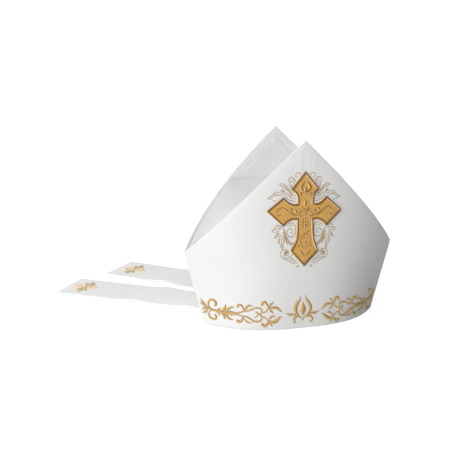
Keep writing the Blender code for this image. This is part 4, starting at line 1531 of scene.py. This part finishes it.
    def build_motif(self, thread: bpy.types.Material) -> bpy.types.Object:
        """Stitch the gold motif near the tip.

        Args:
            thread: Its material.

        Returns:
            The motif.
        """
        middle = self.floor_length - self.motif_inset

        def lay(along: Grid, across: Grid, above: Grid) -> Grid:
            """Put the motif's flat points on the lappet."""
            return self.on_floor(middle + along, across, self.thickness / 2 + above)

        wings = []
        for x_way in (1, -1):
            for y_way in (1, -1):
                wings += redrawn(TIP_QUARTER, scale=(x_way, y_way))
        node = self.node.replace("lappet", "tip_motif")
        # glow and shade: painted highlight and painted shade on the motif's flanks
        piece = Thread(tone=0.1, glow=0.9, shade=0.9).stitched(node + "_stitches", wings, lay)
        return dress(piece, thread, "gold_thread", node)


LAPPETS = (
    {"node": "lappet_left", "side": -1, "floor_share": 0.845, "leaving": 51.5, "ending": 49.6,
     "ripples": (Ripple(0.53, 0.11, 0.0022), Ripple(0.24, 0.10, 0.0018))},
    {"node": "lappet_right", "side": 1, "floor_share": 0.978, "leaving": 34.5, "ending": 44.9,
     "ripples": (Ripple(0.66, 0.10, 0.0026), Ripple(0.36, 0.12, 0.0022))},
)


# The cross and the band

@dataclass(frozen=True)
class Cross:
    """The padded cross of gold satin, its satin-stitched border and its stitching, in millimetres."""

    shell: Shell
    gap: float = 0.3
    border_width: float = 3.1
    plateau: float = 1.0
    swell: float = 0.5
    swell_length: float = 5.0
    grid_step: float = 1.6
    body_step: float = 1.5
    border_step: float = 0.9
    border_inset_share: float = 0.42
    rounding: float = 1.2
    under: float = 0.02
    slope: float = 0.09

    # Clockwise from the top tip: each row is one smooth curve that ends at the next row's first point
    RUNS = (
        ((-0.4, 215.6),),
        ((19.6, 190.6), (14.8, 186.6), (12, 180.6)),
        ((11.4, 171.6), (16, 170.6), (22.6, 173.2)),
        ((30, 180),),
        ((50.4, 161.2), (51.8, 159.2)),
        ((50.6, 157.4),),
        ((29.6, 139.3), (24, 145.4), (17.8, 149)),
        ((11.6, 149.6), (11.8, 137.8), (12.4, 127.8), (14.2, 118.8)),
        ((19, 106.6),),
        ((-1.5, 86),),
        ((-19.8, 108.4), (-13.8, 119), (-11.8, 128), (-11.2, 138)),
        ((-11.2, 150.6), (-18, 150.6), (-24, 148.2)),
        ((-29.8, 142.2),),
        ((-52, 164.2),),
        ((-29.8, 182.2), (-22.4, 174.8), (-16, 172)),
        ((-10.6, 172.4), (-11, 180.6), (-14, 187)),
        ((-19.8, 192),),
    )

    def outline(self, step: float) -> Grid:
        """Flat points round the whole cross, about step apart, clockwise from the top."""
        ends = self.RUNS[1:] + self.RUNS[:1]
        return np.concatenate([smooth_path(run + end[:1], step)[:-1] for run, end in zip(self.RUNS, ends)])

    def inwards(self, outline: Grid, inset: float) -> Grid:
        """The outline moved inwards, mitred at its corners.

        Args:
            outline: Flat points, clockwise.
            inset: How far they move.

        Returns:
            The moved points.
        """
        before = outline - np.roll(outline, 1, axis=0)
        after = np.roll(outline, -1, axis=0) - outline
        normals = []
        for step in (before, after):
            step = step / np.linalg.norm(step, axis=1, keepdims=True)
            normals.append(np.stack([step[:, 1], -step[:, 0]], axis=1))
        middle = normals[0] + normals[1]
        reach = 1 + (normals[0] * normals[1]).sum(axis=1, keepdims=True)
        return outline + middle / np.maximum(reach, 0.5) * inset

    def triangulated(self, outline: Grid) -> tuple[Grid, list[tuple[int, ...]]]:
        """Fill the outline with triangles on a square grid of points.

        Args:
            outline: Flat points, clockwise.

        Returns:
            The flat points that the triangles use, and the triangles.
        """
        points = [Vector(point) for point in outline[::-1]]
        face = list(range(len(points)))
        low = outline.min(axis=0)
        high = outline.max(axis=0)
        for x in np.arange(low[0], high[0], self.grid_step):
            for y in np.arange(low[1], high[1], self.grid_step):
                points.append(Vector((float(x), float(y))))
        corners, _, triangles, _, _, sources = delaunay_2d_cdt(points, [], [face], 1, MERGE_DISTANCE)
        inside = [triangle for triangle, source in zip(triangles, sources) if source]
        used = sorted({corner for triangle in inside for corner in triangle})
        order = {corner: i for i, corner in enumerate(used)}
        flat = np.array([corners[corner] for corner in used])
        return flat, [tuple(order[corner] for corner in triangle) for triangle in inside]

    def from_edge(self, flat: Grid, outline: Grid) -> Grid:
        """How far flat points lie from the outline.

        Args:
            flat: The points.
            outline: The points of the closed outline.

        Returns:
            The distance of each point.
        """
        away = np.full(len(flat), np.inf)
        for start, span in zip(outline, np.roll(outline, -1, axis=0) - outline):
            along = np.clip((flat - start) @ span / (span @ span), 0, 1)
            away = np.minimum(away, np.linalg.norm(flat - start - along[:, None] * span, axis=1))
        return away

    def pad_faces(self, triangles: Sequence[tuple[int, ...]], count: int) -> list[tuple[int, ...]]:
        """Close the pad with an underside and a wall round its edge.

        Args:
            triangles: The triangles of its top.
            count: The number of points in its top; those of its underside follow in the same order.

        Returns:
            All the faces.
        """
        faces = list(triangles) + [(c + count, b + count, a + count) for a, b, c in triangles]
        edge_uses: dict[frozenset, list] = {}
        for a, b, c in triangles:
            for pair in ((a, b), (b, c), (c, a)):
                edge_uses.setdefault(frozenset(pair), []).append(pair)
        for uses in edge_uses.values():
            if len(uses) == 1:
                a, b = uses[0]
                faces.append((b, a, a + count, b + count))
        return faces

    def body(self, satin: bpy.types.Material) -> bpy.types.Object:
        """The padded satin body: flat points are triangulated, raised and laid on the front.

        Args:
            satin: Its material.

        Returns:
            The body.
        """
        outline = self.outline(self.body_step)
        flat, triangles = self.triangulated(outline)
        away = self.from_edge(flat, outline)
        swell = self.swell * (1 - np.exp(-away / self.swell_length))
        raised = self.gap + self.plateau * rounded(away, self.rounding) + swell
        raised = np.where(away < ON_OUTLINE, self.gap, raised)
        count = len(flat)
        heights = np.concatenate([raised, np.full(count, self.under)])
        flat = np.concatenate([flat, flat])
        part = (flat, heights, np.zeros(2 * count), self.pad_faces(triangles, count), flat)
        piece = laid_parts("cross_body", [part], self.shell.on_front)
        piece = dress(piece, satin, "gold_satin", "cross_applique")
        return piece

    def border(self, thread: bpy.types.Material) -> bpy.types.Object:
        """The satin-stitched cord round the cross's edge.

        Args:
            thread: Its material.

        Returns:
            The border.
        """
        line = self.inwards(self.outline(self.border_step), self.border_width * self.border_inset_share)
        # Toned dark all over, with a painted highlight on the flanks that face down to the left
        maker = Thread(crown=1.5, lift=1.0, across=10, tone=-0.95, glow=2.5, shade=0.05)
        part = maker.ribbon(line, np.full(len(line), self.border_width), closed=True)
        return dress(laid_parts("cross_border", [part], self.shell.on_front), thread, "gold_thread")

    def stitching(self, thread: bpy.types.Material) -> bpy.types.Object:
        """The engraved arabesques on the body.

        Args:
            thread: Its material.

        Returns:
            The stitching.
        """
        strokes = both_sides(CROSS_STITCHES, self.slope) + list(CROSS_STITCHES_MIDDLE)
        # glow and shade: painted highlight and painted shade on the stitches' flanks
        maker = Thread(crown=0.8, lift=self.gap + self.plateau + 0.2, step=0.5, fullness=1.55, tone=-0.4,
                       glow=2.0, shade=0.9)
        return dress(maker.stitched("cross_stitches", strokes, self.shell.on_front), thread, "gold_thread")

    def scrollwork(self, thread: bpy.types.Material) -> bpy.types.Object:
        """The outline scrollwork round the cross.

        Args:
            thread: Its material.

        Returns:
            The scrollwork.
        """
        # glow and shade: painted highlight and painted shade on the outlines' flanks
        maker = Thread(crown=0.5, lift=0.0, step=0.7, across=4, fullness=1.35, tone=-0.3, glow=1.1,
                       shade=0.45)
        strokes = both_sides(SCROLLS, self.slope)
        return dress(maker.stitched("cross_scrollwork", strokes, self.shell.on_front), thread, "gold_thread")


@dataclass(frozen=True)
class VineHalf:
    """How half of the vine is laid: stretched and moved along the cloth, sunk and tipped, in millimetres."""

    node: str
    stretch: float
    shift: float
    sink: float
    slope: float = 0.0


VINE_HALVES = (
    VineHalf("vine_left", stretch=-0.975, shift=-0.8, sink=0.4),
    VineHalf("vine_right", stretch=0.957, shift=-5.4, sink=0.2, slope=0.037),
)


@dataclass(frozen=True)
class Band:
    """The embroidered band above the rim: a flower in the middle and a vine on each side."""

    shell: Shell
    fleur_middle: float = -2.0

    def vine(self, half: VineHalf, thread: bpy.types.Material) -> bpy.types.Object:
        """Stitch one half of the vine.

        Args:
            half: How it is laid.
            thread: Its material.

        Returns:
            The half.
        """
        strokes = redrawn(VINE, (half.stretch, 1.0), (half.shift, -half.sink), half.slope)
        # glow and shade: painted highlight and painted shade on the vine's flanks
        maker = Thread(fullness=1.38, glow=1.25, shade=0.9)
        piece = maker.stitched(half.node + "_stitches", strokes, self.shell.on_front)
        return dress(piece, thread, "gold_thread", half.node)

    def fleur(self, thread: bpy.types.Material) -> bpy.types.Object:
        """Stitch the flower.

        Args:
            thread: Its material.

        Returns:
            The flower.
        """
        strokes = both_sides(FLEUR_HALF) + list(FLEUR_MIDDLE)
        strokes = redrawn(strokes, shift=(self.fleur_middle, 0.0))
        # The default glow and shade paint a highlight and shade on the flower's flanks
        piece = Thread().stitched("band_fleur_stitches", strokes, self.shell.on_front)
        return dress(piece, thread, "gold_thread", "band_fleur")


# The studio

@dataclass(frozen=True)
class Lamp:
    """A square soft light: its place from the middle of the mitre, its power in watts and its side."""

    name: str
    place: tuple[float, float, float]
    power: float
    size: float = 1.6


LAMPS = (
    Lamp("left_light", (-2.4, -1.4, 0.7), 41.5),
    Lamp("front_light", (-1.2, -2.4, 1.8), 36.0),
    Lamp("back_light", (-1.4, 1.6, 1.8), 51.0),
)


@dataclass(frozen=True)
class Studio:
    """A pale floor, soft light from the left and the camera at the photograph's angle."""

    shell: Shell
    floor_size: float = 60.0
    near: float = 0.45
    far: float = 1.4
    camera_from_middle: tuple[float, float, float] = (-0.70536, -1.86837, 0.62410)
    camera_yaw: float = -18.3115
    camera_pitch: float = -14.0861
    lens: float = 118.35
    near_glow: float = 0.84
    air_strength: float = 0.17
    lamps_aim: float = 0.1

    def middle(self, height: float = 0.0) -> Vector:
        """The middle of the mitre at a height."""
        return Vector((self.shell.middle_x, self.shell.middle_y, height))

    def floor(self) -> bpy.types.Object:
        """A wide plain floor that the camera sees as nearly white.

        Returns:
            The floor.
        """
        deselect_all()
        bpy.ops.mesh.primitive_plane_add(size=self.floor_size, location=(0, 0, 0))
        floor = bpy.context.object
        floor.name = "floor"
        material = bpy.data.materials.new("pale_floor")
        material.use_nodes = True
        nodes = material.node_tree.nodes
        nodes.clear()
        make = NodeMaker(material.node_tree)
        place = make.add("TexCoord")
        distance = make.add("VectorMath", {"operation": "LENGTH"})
        make.feed(distance.inputs[0], place.outputs["Object"])
        far = make.span(distance.outputs["Value"], self.near, self.far, self.near_glow, 1.0)
        for_light = make.add("BsdfDiffuse", Color=(0.66, 0.66, 0.66, 1))
        seen = make.add("BsdfDiffuse", Color=(0.36, 0.36, 0.36, 1))
        glow = make.add("Emission", Color=(1, 1, 1, 1), Strength=far)
        bright = make.add("AddShader")
        make.feed(bright.inputs[0], seen.outputs[0])
        make.feed(bright.inputs[1], glow.outputs[0])
        make.add("OutputMaterial", Surface=make.for_camera(for_light.outputs[0], bright.outputs[0]))
        floor.data.materials.append(material)
        return floor

    def world(self) -> None:
        """Even, weak light from all round, which the camera sees as nearly white."""
        world = bpy.data.worlds.new("studio_air")
        bpy.context.scene.world = world
        world.use_nodes = True
        nodes = world.node_tree.nodes
        nodes.clear()
        make = NodeMaker(world.node_tree)
        lighting = make.add("Background", Color=(1, 1, 1, 1), Strength=self.air_strength)
        seen = make.add("Background", Color=(1, 1, 1, 1), Strength=1.0)
        make.add("OutputWorld", Surface=make.for_camera(lighting.outputs[0], seen.outputs[0]))

    def hang(self, lamp: Lamp) -> None:
        """Hang a lamp so that it looks at the mitre.

        Args:
            lamp: The lamp.
        """
        light = bpy.data.lights.new(lamp.name, "AREA")
        light.size = lamp.size
        light.energy = lamp.power
        holder = bpy.data.objects.new(lamp.name, light)
        bpy.context.scene.collection.objects.link(holder)
        holder.location = self.middle() + Vector(lamp.place)
        aim = self.middle(self.lamps_aim) - holder.location
        holder.rotation_euler = aim.to_track_quat("-Z", "Y").to_euler()

    def camera(self) -> None:
        """The camera at the photograph's viewing angle."""
        data = bpy.data.cameras.new("camera")
        data.lens = self.lens
        data.sensor_width = 36.0
        data.clip_start = 0.05
        data.clip_end = 200.0
        camera = bpy.data.objects.new("camera", data)
        bpy.context.scene.collection.objects.link(camera)
        camera.location = self.middle() + Vector(self.camera_from_middle)
        camera.rotation_euler = (math.radians(90 + self.camera_pitch), 0, math.radians(self.camera_yaw))
        bpy.context.scene.camera = camera

    def build(self) -> None:
        """Set up the whole studio."""
        bpy.context.scene.view_settings.view_transform = "Standard"
        self.camera()
        self.floor()
        self.world()
        for lamp in LAMPS:
            self.hang(lamp)


def main() -> None:
    """Dress the mitre and set up its studio."""
    logging.basicConfig(level=logging.INFO, format="%(message)s")
    front_low, front_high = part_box("front_panel")
    rear_low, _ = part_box("rear_panel")
    shell = Shell((front_low.x + front_high.x) / 2, (front_high.y + rear_low.y) / 2)
    finishes = Finishes()
    Studio(shell).build()
    panels = Panels(shell)
    panels.build(Side.FRONT, finishes.white_satin)
    panels.build(Side.REAR, finishes.white_satin)
    Web(shell).build(finishes.web_lining_painted_shade)
    lining = HornLining(shell)
    lining.build(Side.FRONT, finishes.grey_lining)
    lining.build(Side.REAR, finishes.grey_lining)
    for values in LAPPETS:
        lappet = Lappet(shell, **values)
        lappet.build(finishes.lappet_satin)
        lappet.build_motif(finishes.tip_thread)
    cross = Cross(shell)
    cross.body(finishes.gold_satin)
    cross.border(finishes.cross_thread)
    cross.stitching(finishes.cross_thread)
    cross.scrollwork(finishes.tan_thread)
    band = Band(shell)
    band.fleur(finishes.gold_thread)
    for half in VINE_HALVES:
        band.vine(half, finishes.gold_thread)


if __name__ == "__main__":
    main()
